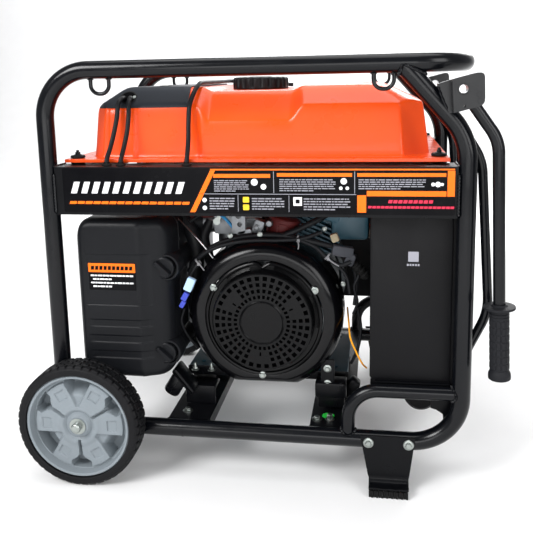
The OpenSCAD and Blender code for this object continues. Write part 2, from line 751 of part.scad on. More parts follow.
// ---- Air filter ----
module rounded_box(x, y, z, r) {
    translate([0, y[1], 0]) rotate([90, 0, 0]) linear_extrude(y[1] - y[0]) union() {
        translate([x[0] + r, z[0]]) square([x[1] - x[0] - 2 * r, z[1] - z[0]]);
        translate([x[0], z[0] + r]) square([x[1] - x[0], z[1] - z[0] - 2 * r]);
        for (cx = [x[0] + r, x[1] - r], cz = [z[0] + r, z[1] - r]) translate([cx, cz]) circle(r = r);
    }
}
module air_filter_base() {
    y = [-178, af_y[1]];
    color("#17181a") difference() {
        union() {
            rounded_box([af_x[0] + 3, af_x[1] - 3], y, [af_z[0] + 3, af_z[1] - 3], 30);
            for (k = knob_xz) bar_y(k[0] + 4, k[1], 23, -232, y[1]);
            bar_y(-198, 456, 24, y[1] - 2, -66);
            bar_x(-198, -135 - fit, -90, 456, 24);
        }
        rounded_box([af_x[0] + 7, af_x[1] - 7], [-190, y[1] - 4], [af_z[0] + 7, af_z[1] - 7], 26);
        bar_x(-198, -130, -90, 456, 19);
        bar_y(-198, 456, 19, -140, -80);
        for (k = knob_xz) bar_y(k[0], k[1], 4 + fit, -240, y[1] - 20);
    }
}
module air_filter_element() {
    color("#c9b98c") difference() {
        rounded_box([-330, -212], [-240, -136], [200, 476], 20);
        rounded_box([-312, -230], [-241, -150], [218, 458], 10);
    }
}
module air_filter_cover() {
    color("#2b2d31") difference() {
        rounded_box(af_x, [af_y[0], -179], af_z, 32);
        rounded_box([af_x[0] + 4, af_x[1] - 4], [af_y[0] + 4, -178], [af_z[0] + 4, af_z[1] - 4], 28);
        for (k = knob_xz) {
            bar_y(k[0] + 4, k[1], 25, -252, -170);
            bar_y(k[0], k[1], 22.5, af_y[0] - 1, -200);
        }
    }
}
module filter_knob(k) {
    color("#2b2d31") union() {
        bar_y(k[0], k[1], 21, -252, -236);
        bar_y(k[0], k[1], 4, -236, -190);
        translate([k[0], -252, k[1]]) rotate([0, 45, 0]) translate([-19, -9, -3]) cube([38, 9, 6]);
    }
}
module filter_knob_upper() { filter_knob(knob_xz[0]); }
module filter_knob_lower() { filter_knob(knob_xz[1]); }

// ---- Exhaust ----
module muffler() {
    color("#5a5450") difference() {
        union() {
            rounded_box([222, 330], [-232, -40], [228, 476], 30);
            bar_x(128, 222 + eps, -50, 432, 15);
            bar_x(330 - eps, 352, -120, 440, 14);
        }
        rounded_box([225, 327], [-229, -43], [231, 473], 27);
        bar_x(120, 240, -50, 432, 12.5);
        bar_x(320, 360, -120, 440, 11.5);
        cylinder_shape(72.2, -108.5, 30.5, 100, 260);
        cylinder_axis() cylinder(r = 59, h = 200);
    }
}
module muffler_shield() {
    t = 1.5;
    color("#26282b") difference() {
        block(shield_x, shield_y, shield_z);
        block([shield_x[0] + t, shield_x[1] - t], [shield_y[0] + t, shield_y[1] + 1],
            [shield_z[0] - 1, shield_z[1] - t]);
        for (z = [240 : 24 : 456]) block([shield_x[1] - 3, shield_x[1] + 1], [-230, -150], [z, z + 8]);
        bar_x(320, 360, -120, 440, 17);
        block([shield_x[0] - 1, shield_x[0] + 3], [-76, -19], [402, 462]);
    }
}
module canister() {
    color("#1a1b1d") union() {
        bar_y(297, 150, 32, -205, -85);
        bar_y(297, 150, 26, -212, -205);
        bar_y(297, 150, 10, -85, -70);
        block([272, 322], [-165, -135], [160, shelf_z]);
    }
}

// ---- Electrics ----
module battery() {
    color("#2c2e33") union() {
        block([222, 310], [40, 190], [shelf_z + shelf_t, 345]);
        for (y = [60, 170]) bar_z(240, y, 7, 345, 356);
    }
}
module inverter_module() {
    color("#8d9296") union() {
        block([-346, -186], [-58, 190], [220, 470]);
        for (y = [-40, 140]) block([tank_rail_x + 4, tank_rail_x + 8], [y, y + 24], [470, tank_rail_z0]);
        for (y = [-50 : 14 : 182]) block([-360, -346], [y, y + 4], [226, 464]);
        block([-367, -346], [170, 190], [300, 380]);
    }
}
outlet_xz = [[10, 430], [110, 430], [210, 430], [30, 320], [150, 320]];
module control_box() {
    t = 2;
    color("#26282c") difference() {
        union() {
            block(box_x, box_y, box_z);
            for (x = [-90, 70, 250]) block([x, x + 30], [box_y[1] - t, box_y[1]], [box_z[1], beam_z0]);
            for (x = [-90, 70, 250]) block([x, x + 30], [box_y[1] - t, beam_y - 2], [beam_z0 - t, beam_z0]);
        }
        block([box_x[0] + t, box_x[1] - t], [box_y[0] + t, box_y[1] - t], [box_z[0] + t, box_z[1] - t]);
        for (o = outlet_xz) bar_y(o[0], o[1], 24, box_y[1] - 5, box_y[1] + 5);
        bar_y(switch_xz[0], switch_xz[1], 5 + fit, box_y[1] - 5, box_y[1] + 5);
        block([breaker_xz[0] - 7, breaker_xz[0] + 7], [box_y[1] - 5, box_y[1] + 5],
            [breaker_xz[1] - 14, breaker_xz[1] + 14]);
        for (z = [250 : 16 : 460]) block([box_x[1] - 5, box_x[1] + 5], [212, 246], [z, z + 6]);
        for (s = [0 : 3]) block([286 + s * 12, 292 + s * 12], [box_y[1] - 5, box_y[1] + 5], [240, 300]);
    }
}
module outlets() {
    color("#151618") for (o = outlet_xz) difference() {
        union() {
            bar_y(o[0], o[1], 24, box_y[1] - 20, box_y[1]);
            bar_y(o[0], o[1], 29, box_y[1], box_y[1] + 5);
        }
        for (a = [90, 210, 330]) translate([o[0], box_y[1] - 10, o[1]]) rotate([0, a, 0])
            translate([9, 0, -4]) cube([3, 20, 8]);
    }
}
module start_switch() {
    color("#b3261e") union() {
        bar_y(switch_xz[0], switch_xz[1], 5, box_y[1] - 12, box_y[1] + 2);
        bar_y(switch_xz[0], switch_xz[1], 15, box_y[1] + 1, box_y[1] + 9);
        block([switch_xz[0] - 3, switch_xz[0] + 3], [box_y[1] + 9, box_y[1] + 15],
            [switch_xz[1] - 14, switch_xz[1] + 14]);
    }
}
module breaker_lever() {
    color("#e8e8e4") union() {
        bar_x(breaker_xz[0] - 5, breaker_xz[0] + 5, box_y[1] - 8, breaker_xz[1], 6);
        block([breaker_xz[0] - 5, breaker_xz[0] + 5], [box_y[1] - 8, box_y[1] + 9],
            [breaker_xz[1] - 3, breaker_xz[1] + 3]);
    }
}

top_hoop();
front_side_loop();
rear_side_loop();
subframe_hoops();
tank_rails();
panel_beams();
engine_beams();
shelf();
lifting_loops();
handle_brackets();
pivot_bushes();
guard_bows();
axle();
axle_brackets();
axle_caps();
foot_plates();
foot_pads();
frame_bolts();
tyre_front();
hub_front();
tyre_rear();
hub_rear();
handle_front();
grip_front();
handle_rear();
grip_rear();
fuel_tank();
filler_cap();
tank_plate();
tank_washers();
tank_hoses();
hose_grommets();
crankcase();
engine_cylinder();
rocker_cover();
fan_shroud();
fan_grille();
flywheel();
crankshaft();
rotor();
stator();
alternator_housing();
starter_motor();
carburettor();
choke_lever();
engine_mounts();
air_filter_base();
air_filter_element();
air_filter_cover();
filter_knob_upper();
filter_knob_lower();
muffler();
muffler_shield();
canister();
battery();
inverter_module();
control_box();
outlets();
start_switch();
breaker_lever();
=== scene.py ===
import json
import math

import bmesh
import bpy
from mathutils import Euler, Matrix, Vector


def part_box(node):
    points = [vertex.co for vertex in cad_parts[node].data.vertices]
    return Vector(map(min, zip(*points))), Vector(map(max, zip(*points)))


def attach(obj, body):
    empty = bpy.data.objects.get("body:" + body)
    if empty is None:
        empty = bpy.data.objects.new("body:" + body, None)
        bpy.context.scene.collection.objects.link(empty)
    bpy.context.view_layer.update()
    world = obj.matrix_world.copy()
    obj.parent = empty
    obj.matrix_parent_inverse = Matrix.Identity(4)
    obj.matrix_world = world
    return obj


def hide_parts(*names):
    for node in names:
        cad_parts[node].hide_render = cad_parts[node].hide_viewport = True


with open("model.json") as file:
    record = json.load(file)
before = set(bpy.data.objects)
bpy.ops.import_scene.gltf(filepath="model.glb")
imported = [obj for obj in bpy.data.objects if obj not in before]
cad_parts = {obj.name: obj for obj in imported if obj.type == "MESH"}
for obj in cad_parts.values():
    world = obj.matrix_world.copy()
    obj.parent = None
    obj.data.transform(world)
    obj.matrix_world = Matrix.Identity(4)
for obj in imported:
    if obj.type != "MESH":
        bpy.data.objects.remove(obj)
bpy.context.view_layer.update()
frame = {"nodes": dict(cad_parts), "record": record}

scene = bpy.context.scene
BODY = "frame_body"
SIDES = ((-1, "-Y"), (1, "+Y"))  # front and rear, each with the axis that points outwards
LEVEL = (0, 0, 0)


# ---------- materials ----------
class Net:
    """A small helper that wires one procedural material."""

    def __init__(self, name):
        self.mat = bpy.data.materials.new(name)
        self.mat.use_nodes = True
        self.tree = self.mat.node_tree
        self.bsdf = next(n for n in self.tree.nodes if n.type == "BSDF_PRINCIPLED")
        self.pos = self.add("ShaderNodeTexCoord").outputs["Object"]

    def add(self, kind, **inputs):
        n = self.tree.nodes.new(kind)
        for key, val in inputs.items():
            n.inputs[key.replace("_", " ")].default_value = val
        return n

    def link(self, a, b):
        self.tree.links.new(a, b)

    def noise(self, scale, detail=3.0, stretch=None):
        n = self.add("ShaderNodeTexNoise", Scale=scale, Detail=detail)
        src = self.pos
        if stretch:
            m = self.add("ShaderNodeMapping", Scale=stretch)
            self.link(src, m.inputs["Vector"])
            src = m.outputs["Vector"]
        self.link(src, n.inputs["Vector"])
        return n.outputs["Fac"]

    def ramp(self, fac, stops):
        n = self.add("ShaderNodeValToRGB")
        el = n.color_ramp.elements
        while len(el) < len(stops):
            el.new(0.5)
        for e, (p, c) in zip(el, stops):
            e.position = p
            e.color = (*c, 1.0) if not isinstance(c, float) else (c, c, c, 1.0)
        self.link(fac, n.inputs["Fac"])
        return n.outputs["Color"]

    def bump(self, height, strength, dist):
        n = self.add("ShaderNodeBump", Strength=strength, Distance=dist)
        self.link(height, n.inputs["Height"])
        self.link(n.outputs["Normal"], self.bsdf.inputs["Normal"])


def shade(col, k):
    return tuple(min(1.0, c * k) for c in col)


def surface(name, col, rough, metal=0.0, grain=900.0, bump=0.08, vary=0.12, coat=0.0,
            spread=0.06, stretch=None, spec=0.14):
    """Colour varies broadly, roughness in patches, and a fine grain bumps the surface."""
    m = Net(name)
    m.link(m.ramp(m.noise(9.0, 4.0), [(0.3, shade(col, 1 - vary)), (0.72, shade(col, 1 + vary))]),
           m.bsdf.inputs["Base Color"])
    m.link(m.ramp(m.noise(26.0, 5.0), [(0.3, rough - spread), (0.75, rough + spread)]),
           m.bsdf.inputs["Roughness"])
    m.bsdf.inputs["Metallic"].default_value = metal
    m.bsdf.inputs["Specular IOR Level"].default_value = spec
    if coat:
        m.bsdf.inputs["Coat Weight"].default_value = coat
        m.bsdf.inputs["Coat Roughness"].default_value = 0.06
    m.bump(m.noise(grain, 2.0, stretch), bump, 0.0004)
    return m.mat


MAT = {key: surface(key, col, rough, **rest) for key, col, rough, rest in (
    ("frame_black", (0.0022, 0.0026, 0.0038), 0.22, dict(grain=1500, bump=0.06, spec=0.26)),
    ("plate_black", (0.0022, 0.0024, 0.0032), 0.32, dict(grain=1300, bump=0.10)),
    ("zinc", (0.36, 0.39, 0.37), 0.34, dict(metal=1.0, grain=500, bump=0.12)),
    ("steel", (0.42, 0.43, 0.44), 0.34, dict(metal=1.0, grain=700, stretch=(1, 12, 1))),
    ("tyre_rubber", (0.0055, 0.0055, 0.0065), 0.58, dict(grain=1100, bump=0.25, spec=0.16)),
    ("hub_grey", (0.195, 0.222, 0.242), 0.44, dict(grain=1600, bump=0.10, vary=0.07)),
    ("grip_rubber", (0.010, 0.0105, 0.0125), 0.55, dict(grain=1300, bump=0.22)),
    ("mount_rubber", (0.005, 0.005, 0.005), 0.62, dict(grain=1200, bump=0.22)),
    ("tank_orange", (0.80, 0.068, 0.0025), 0.30,
     dict(grain=160, bump=0.025, vary=0.05, coat=0.22, spread=0.04, spec=0.3)),
    ("cap_black", (0.006, 0.006, 0.0065), 0.42, dict(grain=1500, bump=0.20)),
    ("tank_grey", (0.020, 0.023, 0.029), 0.40, dict(grain=1300, bump=0.10)),
    ("hose_rubber", (0.009, 0.0095, 0.011), 0.42, dict(grain=1000, bump=0.15)),
    ("engine_teal", (0.018, 0.085, 0.125), 0.45, dict(grain=600, bump=0.35, spec=0.6)),
    ("engine_black", (0.0022, 0.0022, 0.0026), 0.24, dict(grain=1200, spec=0.17, bump=0.12)),
    ("shroud_black", (0.0016, 0.0016, 0.0022), 0.20, dict(grain=1300, spec=0.24, bump=0.10)),
    ("cast_alloy", (0.20, 0.21, 0.22), 0.46, dict(metal=1.0, grain=420, bump=0.35)),
    ("winding", (0.28, 0.10, 0.04), 0.40, dict(metal=0.6, grain=600, bump=0.3, stretch=(1, 10, 1))),
    ("filter_black", (0.0065, 0.007, 0.0085), 0.38, dict(grain=1500, bump=0.18)),
    ("filter_foam", (0.45, 0.38, 0.20), 0.85, dict(grain=500, bump=0.5)),
    ("muffler_steel", (0.16, 0.13, 0.11), 0.46, dict(metal=1.0, grain=300, bump=0.2, vary=0.35)),
    ("panel_black", (0.0035, 0.0035, 0.0042), 0.44, dict(grain=1400, bump=0.14)),
    ("battery_grey", (0.022, 0.024, 0.028), 0.48, dict(grain=1100, bump=0.15)),
    ("switch_red", (0.45, 0.015, 0.008), 0.30, dict(grain=700, bump=0.05)),
    # painted shade: near-black, rough and almost glossless; it fills openings to stand for the shade inside them
    ("painted_shade_black", (0.0015, 0.0015, 0.002), 0.85, dict(grain=800, bump=0.05, spec=0.05)),
    ("lever_white", (0.75, 0.75, 0.70), 0.35, dict(grain=700, bump=0.05)),
)}
slot_of = {s["node"]: s["material_slot"] for s in frame["record"]["subparts"]}
for node, obj in frame["nodes"].items():
    for i in range(max(1, len(obj.material_slots))):
        if not obj.material_slots:
            obj.data.materials.append(MAT[slot_of[node]])
        else:
            obj.material_slots[i].material = MAT[slot_of[node]]


# ---------- shape helpers ----------
def mesh_object(name, bm):
    """Turns a bmesh in millimetres into an object in metres."""
    bmesh.ops.scale(bm, vec=(0.001, 0.001, 0.001), verts=bm.verts)
    bmesh.ops.recalc_face_normals(bm, faces=bm.faces)
    me = bpy.data.meshes.new(name)
    bm.to_mesh(me)
    bm.free()
    ob = bpy.data.objects.new(name, me)
    scene.collection.objects.link(ob)
    return ob


def shade_smooth(me, angle):
    for p in me.polygons:
        p.use_smooth = True
    me.set_sharp_from_angle(angle=angle)


def add_piece(name, bm, mat, body=BODY, smooth=math.radians(40), stands_for=(), slot=None):
    """Turns a bmesh in millimetres into a shown piece that rides on a CAD body."""
    bmesh.ops.remove_doubles(bm, verts=bm.verts, dist=0.0005)
    ob = mesh_object(name, bm)
    named = isinstance(mat, str)
    ob.data.materials.append(MAT[mat] if named else mat)
    if smooth:
        shade_smooth(ob.data, smooth)
    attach(ob, body)
    if stands_for:
        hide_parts(*stands_for)
    return ob


def grid_rows(bm, rows, closed_u=False, closed_v=False):
    """Faces between rows of vertices."""
    n = len(rows)
    for i in range(n if closed_v else n - 1):
        a, b = rows[i], rows[(i + 1) % n]
        m = len(a)
        for k in range(m if closed_u else m - 1):
            quad = (a[k], a[(k + 1) % m], b[(k + 1) % m], b[k])
            uniq = list(dict.fromkeys(quad))
            if len(uniq) > 2:
                bm.faces.new(uniq)


def tube_rows(bm, rows):
    """Closed rows of vertices joined into a tube and capped at both ends."""
    grid_rows(bm, rows, closed_u=True)
    bm.faces.new(list(reversed(rows[0])))
    bm.faces.new(rows[-1])


def closed_sheet(bm, up, dn):
    """An upper and a lower grid joined round their edges."""
    grid_rows(bm, up)
    grid_rows(bm, [list(reversed(r)) for r in dn])
    for a, b in ((up[0], dn[0]), (up[-1], dn[-1]), ([r[0] for r in up], [r[0] for r in dn]),
                 ([r[-1] for r in up], [r[-1] for r in dn])):
        grid_rows(bm, [a, b])


def ring(bm, n, point):
    """A closed row of n vertices; point(angle, index) gives each one."""
    return [bm.verts.new(point(2 * math.pi * k / n, k)) for k in range(n)]


def smooth_path(pts, per=6):
    """A Catmull-Rom curve through the points."""
    out = []
    p = [Vector(q) for q in pts]
    p = [2 * p[0] - p[1]] + p + [2 * p[-1] - p[-2]]
    for i in range(1, len(p) - 2):
        for k in range(per):
            t = k / per
            a, b, c, d = p[i - 1], p[i], p[i + 1], p[i + 2]
            out.append(0.5 * ((2 * b) + (c - a) * t + (2 * a - 5 * b + 4 * c - d) * t * t
                              + (3 * b - a - 3 * c + d) * t ** 3))
    out.append(p[-2])
    return out


def sweep(bm, pts, radius, sides=16):
    """A closed tube along the points; radius is a number or one value a point."""
    n = len(pts)
    rad = radius if isinstance(radius, (list, tuple)) else [radius] * n
    pts = [Vector(p) for p in pts]
    t0 = (pts[1] - pts[0]).normalized()
    ref = Vector((0, 0, 1)) if abs(t0.z) < 0.9 else Vector((1, 0, 0))
    u = t0.cross(ref).normalized()
    rows = []
    for i, p in enumerate(pts):
        t = (pts[min(i + 1, n - 1)] - pts[max(i - 1, 0)]).normalized()
        u = (u - t * u.dot(t)).normalized()
        v = t.cross(u)
        rows.append(ring(bm, sides, lambda a, k: p + rad[i] * (math.cos(a) * u + math.sin(a) * v)))
    tube_rows(bm, rows)


AXES = {"-Y": (0, -1, 0), "+Y": (0, 1, 0), "+Z": (0, 0, 1), "+X": (1, 0, 0)}


def lathe(bm, profile, origin, axis="-Y", steps=64):
    """A closed solid of revolution. profile is [(radius, height)...] from axis to axis."""
    o = Vector(origin)
    ax = Vector(AXES[axis] if isinstance(axis, str) else axis).normalized()
    u = ax.cross(Vector((0, 0, 1)) if abs(ax.z) < 0.9 else Vector((1, 0, 0))).normalized()
    v = ax.cross(u)
    rows = []
    for r, h in profile:
        if r < 1e-6:
            rows.append([bm.verts.new(o + ax * h)] * steps)
        else:
            rows.append(ring(bm, steps, lambda a, k: o + ax * h + r * (math.cos(a) * u + math.sin(a) * v)))
    grid_rows(bm, rows, closed_u=True)


def turned(name, mat, profile, places, steps, **rest):
    """One piece made of the same turned profile at several places, each (origin, axis)."""
    bm = bmesh.new()
    for origin, axis in places:
        lathe(bm, profile, origin, axis, steps)
    add_piece(name, bm, mat, **rest)


def rounded_loop(x0, x1, z0, z1, r, seg=6):
    """Corner-rounded rectangle outline as [(x, z)...]."""
    out = []
    for cx, cz, a0 in ((x1 - r, z1 - r, 0), (x0 + r, z1 - r, 90), (x0 + r, z0 + r, 180), (x1 - r, z0 + r, 270)):
        for k in range(seg + 1):
            a = math.radians(a0 + 90 * k / seg)
            out.append((cx + r * math.cos(a), cz + r * math.sin(a)))
    return out


def shells(bm, loops):
    """Stacks outlines [[(x, y, z)...]...] into one closed skin, capped at both ends."""
    tube_rows(bm, [[bm.verts.new(p) for p in loop] for loop in loops])


def eased(y0, y1, edge):
    """Depths and insets that soften the front and back edges of a box."""
    near, far = edge * 0.3, edge
    return ((y0, far), (y0 + near, near), (y0 + far, 0.0), (y1 - far, 0.0), (y1 - near, near), (y1, far))


def soft_box(bm, x, y, z, r=3.0, edge=1.5, seg=5):
    """A box with rounded vertical-plane corners (seen along Y) and softened front and back edges."""
    loops = []
    for yy, inset in eased(*y, edge):
        loops.append([(px, yy, pz) for px, pz in
                      rounded_loop(x[0] + inset, x[1] - inset, z[0] + inset, z[1] - inset, max(r - inset, 0.4), seg)])
    shells(bm, loops)


def hex_bolt(bm, c, axis="-Y", r=6.5, h=5.0, washer=9.5):
    """Flange bolt head: washer disc, then a six-sided head with a slight dome."""
    lathe(bm, [(0, 0), (washer, 0), (washer, 1.2), (washer - 1.2, 1.9), (0, 2.0)], c, axis, 28)
    lathe(bm, [(0, 1.5), (r, 1.5), (r, h), (r * 0.86, h + 0.8), (0, h + 0.9)], c, axis, 6)


def smin(a, b, k):
    h = max(0.0, min(1.0, 0.5 + 0.5 * (b - a) / k))
    return b + (a - b) * h - k * h * (1 - h)


def smax(a, b, k):
    return -smin(-a, -b, k)


def ease(x, a, b):
    """0 below a, 1 above b, smooth between."""
    t = max(0.0, min(1.0, (x - a) / (b - a)))
    return t * t * (3 - 2 * t)


def lines(*spans):
    """Grid lines from (start, stop, step) spans."""
    out = set()
    for a, b, s in spans:
        n = max(1, round((b - a) / s))
        out.update(round(a + (b - a) * k / n, 4) for k in range(n + 1))
    return sorted(out)


def slab_from(bm, xs, ys, top_of, under_of):
    """A closed sheet between two height functions over a grid."""
    up = [[bm.verts.new((x, y, top_of(x, y))) for x in xs] for y in ys]
    dn = [[bm.verts.new((x, y, under_of(x, y))) for x in xs] for y in ys]
    closed_sheet(bm, up, dn)


# ---------- fuel tank ----------
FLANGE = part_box("fuel_tank")[0].z * 1000 + 3.2  # top of the flange
LIP = 596.6  # underside of the folded rim


def tank_top(x):
    """Height of the tank's crown along its length."""
    return 730.0 - 8.5 * ease(x, -114, -90) + 8.5 * ease(x, 56, 80)


def tank_shoulder(x):
    """Height of the folded edge below the crown."""
    return 692.0 - 20.0 * ease(x, -116, -92) + 24.0 * ease(x, 54, 84)


def tank_height(x, y):
    """The pressed shape: drafted walls, cut corners, a folded shoulder and a sunken middle."""
    side = 219.0 - abs(y)
    left, right = x + 322.0, 307.0 - x
    cut_l = (left + side - 26.0) / 1.414
    cut_r = (right + side - 50.0) / 1.414
    press = 3.6 * (ease(x, -238, -229) - ease(x, -118, -104)) + 1.6 * (ease(x, -296, -291) - ease(x, -287, -282))
    wall = 6.9 * smin(side - press, smin(cut_l, cut_r, 7), 2.2)
    wall = smin(wall, 14.0 * left, 16)
    wall = smin(wall, 7.2 * right, 16)
    z = 603.0 + wall
    shoulder = tank_shoulder(x)
    slope = (tank_top(x) - shoulder) / 36.0
    z = smin(z, shoulder + slope * (side - 13.5), 13)
    z = smin(z, 692.0 + 0.70 * (left - 6.0), 12)
    z = smin(z, 697.0 + 0.475 * (right - 13.0), 12)
    z = smin(z, 697.0 + 0.60 * (cut_r - 9.0), 10)
    z = smin(z, tank_top(x), 7)
    return smax(FLANGE, z, 7)


bm = bmesh.new()
xs = lines((-360.5, -357.5, 3), (-357.5, -322, 5), (-322, -312, 0.9), (-312, -276, 2.2), (-276, -242, 5),
           (-242, -226, 1.3), (-226, -122, 6.5), (-122, -86, 1.8), (-86, 50, 8), (50, 88, 2.0), (88, 214, 7),
           (214, 288, 3.2), (288, 310, 1.1), (310, 333.5, 5), (333.5, 336.5, 3))
half = lines((0, 150, 10), (150, 200, 3.0), (200, 222, 0.9), (222, 246.5, 4.5), (246.5, 249.5, 3))
ys = sorted({-v for v in half} | set(half))
slab_from(bm, xs, ys, tank_height,
          lambda x, y: LIP if abs(y) > 248 or x < -359 or x > 335 else FLANGE - 2.6)
tank = add_piece("tank_body", bm, "tank_orange", stands_for=("fuel_tank",))
bev = tank.modifiers.new("rim", "BEVEL")
bev.width = 0.0011
bev.segments = 2
bev.limit_method = "ANGLE"
bev.angle_limit = math.radians(60)

# dark sheet over the left end, with a cable cut-out on each side and a bolt hole
EDGE_Z, PLATE_X = 693.5, -134.0
MID = (-215.0, 0.0)


def plate_reach(ang):
    """Distance from the plate's middle to its edge in one direction."""
    dx, dy = math.cos(ang), math.sin(ang)
    lo, hi = 0.0, 260.0
    while hi - lo > 1e-6:
        r = (lo + hi) / 2
        x, y = MID[0] + r * dx, MID[1] + r * dy
        if x < PLATE_X and tank_height(x, y) > EDGE_Z:
            lo = r
        else:
            hi = r
    return lo


side_lim = 150.0
while tank_height(PLATE_X - 0.01, side_lim) > EDGE_Z:
    side_lim += 0.1
corner = math.atan2(side_lim, PLATE_X - MID[0])
angles = sorted({2 * math.pi * k / 220 - math.pi for k in range(220)} | {corner, -corner})
reach = [plate_reach(a) for a in angles]
bm = bmesh.new()
up, dn = [], []
for t in lines((0.06, 0.6, 0.06), (0.6, 1.0, 0.016)):
    pts = [(MID[0] + t * r * math.cos(a), MID[1] + t * r * math.sin(a)) for a, r in zip(angles, reach)]
    up.append([bm.verts.new((x, y, tank_height(x, y) + 2.4)) for x, y in pts])
    dn.append([bm.verts.new((x, y, tank_height(x, y) + 0.4)) for x, y in pts])
grid_rows(bm, up, closed_u=True)
grid_rows(bm, dn, closed_u=True)
grid_rows(bm, [up[-1], dn[-1]], closed_u=True)
bm.faces.new(up[0])
bm.faces.new(dn[0])
plate = add_piece("tank_cover_plate", bm, "tank_grey", stands_for=("tank_plate",))


def cut_with(ob, fill):
    """Cuts a piece with the solid that fill makes; the solid is gone once the cut is applied."""
    b = bmesh.new()
    fill(b)
    tool = mesh_object("cutter", b)
    mod = ob.modifiers.new("cut", "BOOLEAN")
    mod.operation = "DIFFERENCE"
    mod.solver = "EXACT"
    mod.object = tool
    dg = bpy.context.evaluated_depsgraph_get()
    me = bpy.data.meshes.new_from_object(ob.evaluated_get(dg))
    ob.modifiers.remove(mod)
    ob.data = me
    shade_smooth(me, math.radians(40))
    bpy.data.objects.remove(tool)


def drill(ob, r, reach, origin, axis, steps):
    """Cuts a round hole that reaches as far both ways from its origin."""
    cut_with(ob, lambda b: lathe(b, [(0, -reach), (r, -reach), (r, reach), (0, reach)], origin, axis, steps))


for s in (-1, 1):
    drill(plate, 14, 30, (-252, s * 184, 712), (0, s * 0.7, 0.72), 40)
drill(plate, 9, 30, (-189, -150, 724), "+Z", 32)
bm = bmesh.new()
lathe(bm, [(9.2, 0), (11.6, 0.2), (11.6, 1.2), (9.2, 1.4), (9.2, 0)], (-189, -150, 732.2), "+Z", 32)
for s in (-1, 1):
    lathe(bm, [(13.4, 0), (16, 0.2), (16.4, 1.4), (15, 2.0), (13.4, 1.6), (13.4, 0)],
          (-252, s * 187.5, 712.5), (0, s * 0.7, 0.72), 40)
add_piece("cutout_rims", bm, "cap_black")
# painted shade: a near-black plug fills each cable cut-out in the plate to stand for the shade inside it
turned("cutout_painted_shade", "painted_shade_black", [(0, 2.6), (13.2, 2.2), (14.2, 0.8), (14.2, -3), (0, -3)],
       [((-252, s * 185.4, 713.2), (0, s * 0.7, 0.72)) for s in (-1, 1)], 40, slot="cap_black")
bm = bmesh.new()
hex_bolt(bm, (-189, -150, 729.5), "+Z", 5, 4, 7.5)
hex_bolt(bm, (-240, -186, 711), (0, -0.7, 0.72), 4, 4, 6)
add_piece("cover_bolts", bm, "zinc")

# filler cap with wide flutes
CAP = (-28.0, 0.0, 721.0)
bm = bmesh.new()
flutes = 20
cap_profile = [(50, 0.4, 0), (56.5, 0.6, 0), (57.6, 2.2, 0), (57.6, 4.0, 0.15), (57.8, 6.0, 1.0), (57.6, 20.0, 1.0),
               (56.8, 22.6, 0.9), (54.6, 24.2, 0.5), (51.0, 25.2, 0.15), (44.0, 25.6, 0), (43.0, 24.6, 0),
               (24.0, 24.2, 0), (23.0, 26.4, 0)]


def cap_point(a, r, h, dip):
    rr = r - dip * 3.2 * (0.5 - 0.5 * math.cos(a * flutes)) ** 4
    return CAP[0] + rr * math.cos(a), CAP[1] + rr * math.sin(a), CAP[2] + h


tube_rows(bm, [ring(bm, flutes * 8, lambda a, k: cap_point(a, *step)) for step in cap_profile])
add_piece("fuel_cap", bm, "cap_black", "cap", stands_for=("filler_cap",))

# hoses over the tank, smooth copies of the CAD routes
HOSES = {
    "a": [(-258, -184, 711), (-260, -200, 712), (-263, -215, 702), (-264, -222, 680), (-268, -232, 650),
          (-272, -246, 622), (-274, -260, 604), (-274, -262, 588), (-272, -262, 565), (-255, -250, 545),
          (-215, -215, 532), (-170, -170, 522), (-130, -130, 510), (-105, -106, 500), (-98, -98, 488),
          (-98, -98, 478.5)],
    "b": [(-246, -184, 711), (-245, -200, 712), (-243, -214, 700), (-242, -221, 680), (-243, -232, 650),
          (-246, -246, 622), (-247, -260, 604), (-247, -262, 588), (-244, -262, 567), (-228, -248, 556),
          (-190, -210, 546), (-150, -165, 534), (-112, -115, 518), (-84, -94, 502), (-78, -88, 489), (-78, -88, 478.5)],
    "c": [(20, 175, 727), (-30, 176, 729), (-80, 174, 733), (-118, 150, 738), (-124, 100, 738), (-122, 0, 738),
          (-119, -100, 738), (-117, -150, 738), (-118, -172, 735), (-122, -194, 722), (-127, -213, 698),
          (-128, -222, 668), (-126, -236, 636), (-124, -254, 612), (-124, -262, 596), (-124, -262, 572),
          (-135, -250, 548), (-165, -225, 528), (-188, -200, 516), (-198, -173, 509), (-198, -156, 500),
          (-198, -156, 491.5)],
}
bm = bmesh.new()
for pts in HOSES.values():
    sweep(bm, smooth_path(pts, 5), 4.25, 14)
add_piece("tank_hose_set", bm, "hose_rubber", stands_for=("tank_hoses",))
turned("grommet_rims", "mount_rubber", [(4.3, 0), (9, 0), (9, 1.6), (7.6, 3.0), (5.6, 3.4), (5.2, 7), (4.3, 7.2),
                                        (4.3, 0)],
       [((x, -262, 593.2), "+Z") for x in (-274, -247, -124)], 28, stands_for=("hose_grommets",))

# tank bolts and rubber washers
bm = bmesh.new()
zn = bmesh.new()
UNDER_WASHER = [(0, 593.1), (12.6, 593.1), (13.4, 594.5), (13.4, 598.6), (12.6, 599.9), (0, 599.9)]
TOP_WASHER = [(4.3, 604.1), (13.0, 604.1), (13.8, 605.0), (13.4, 607.8), (12.0, 608.9), (4.3, 609.0), (4.3, 604.1)]
for x, y in ((-342, -230), (320, -216), (-342, 230), (320, 216)):
    for profile in (UNDER_WASHER, TOP_WASHER):
        lathe(bm, profile, (x, y, 0), "+Z", 36)
    hex_bolt(zn, (x, y, 609.0), "+Z", 4.8, 5.0, 7)
    lathe(zn, [(0, 2), (2.8, 2), (2.8, 8.5), (2.2, 9.4), (0, 9.5)], (x, y, 609.0), "+Z", 14)
add_piece("tank_rubber_washers", bm, "mount_rubber", stands_for=("tank_washers",))
add_piece("tank_bolt_heads", zn, "engine_black")

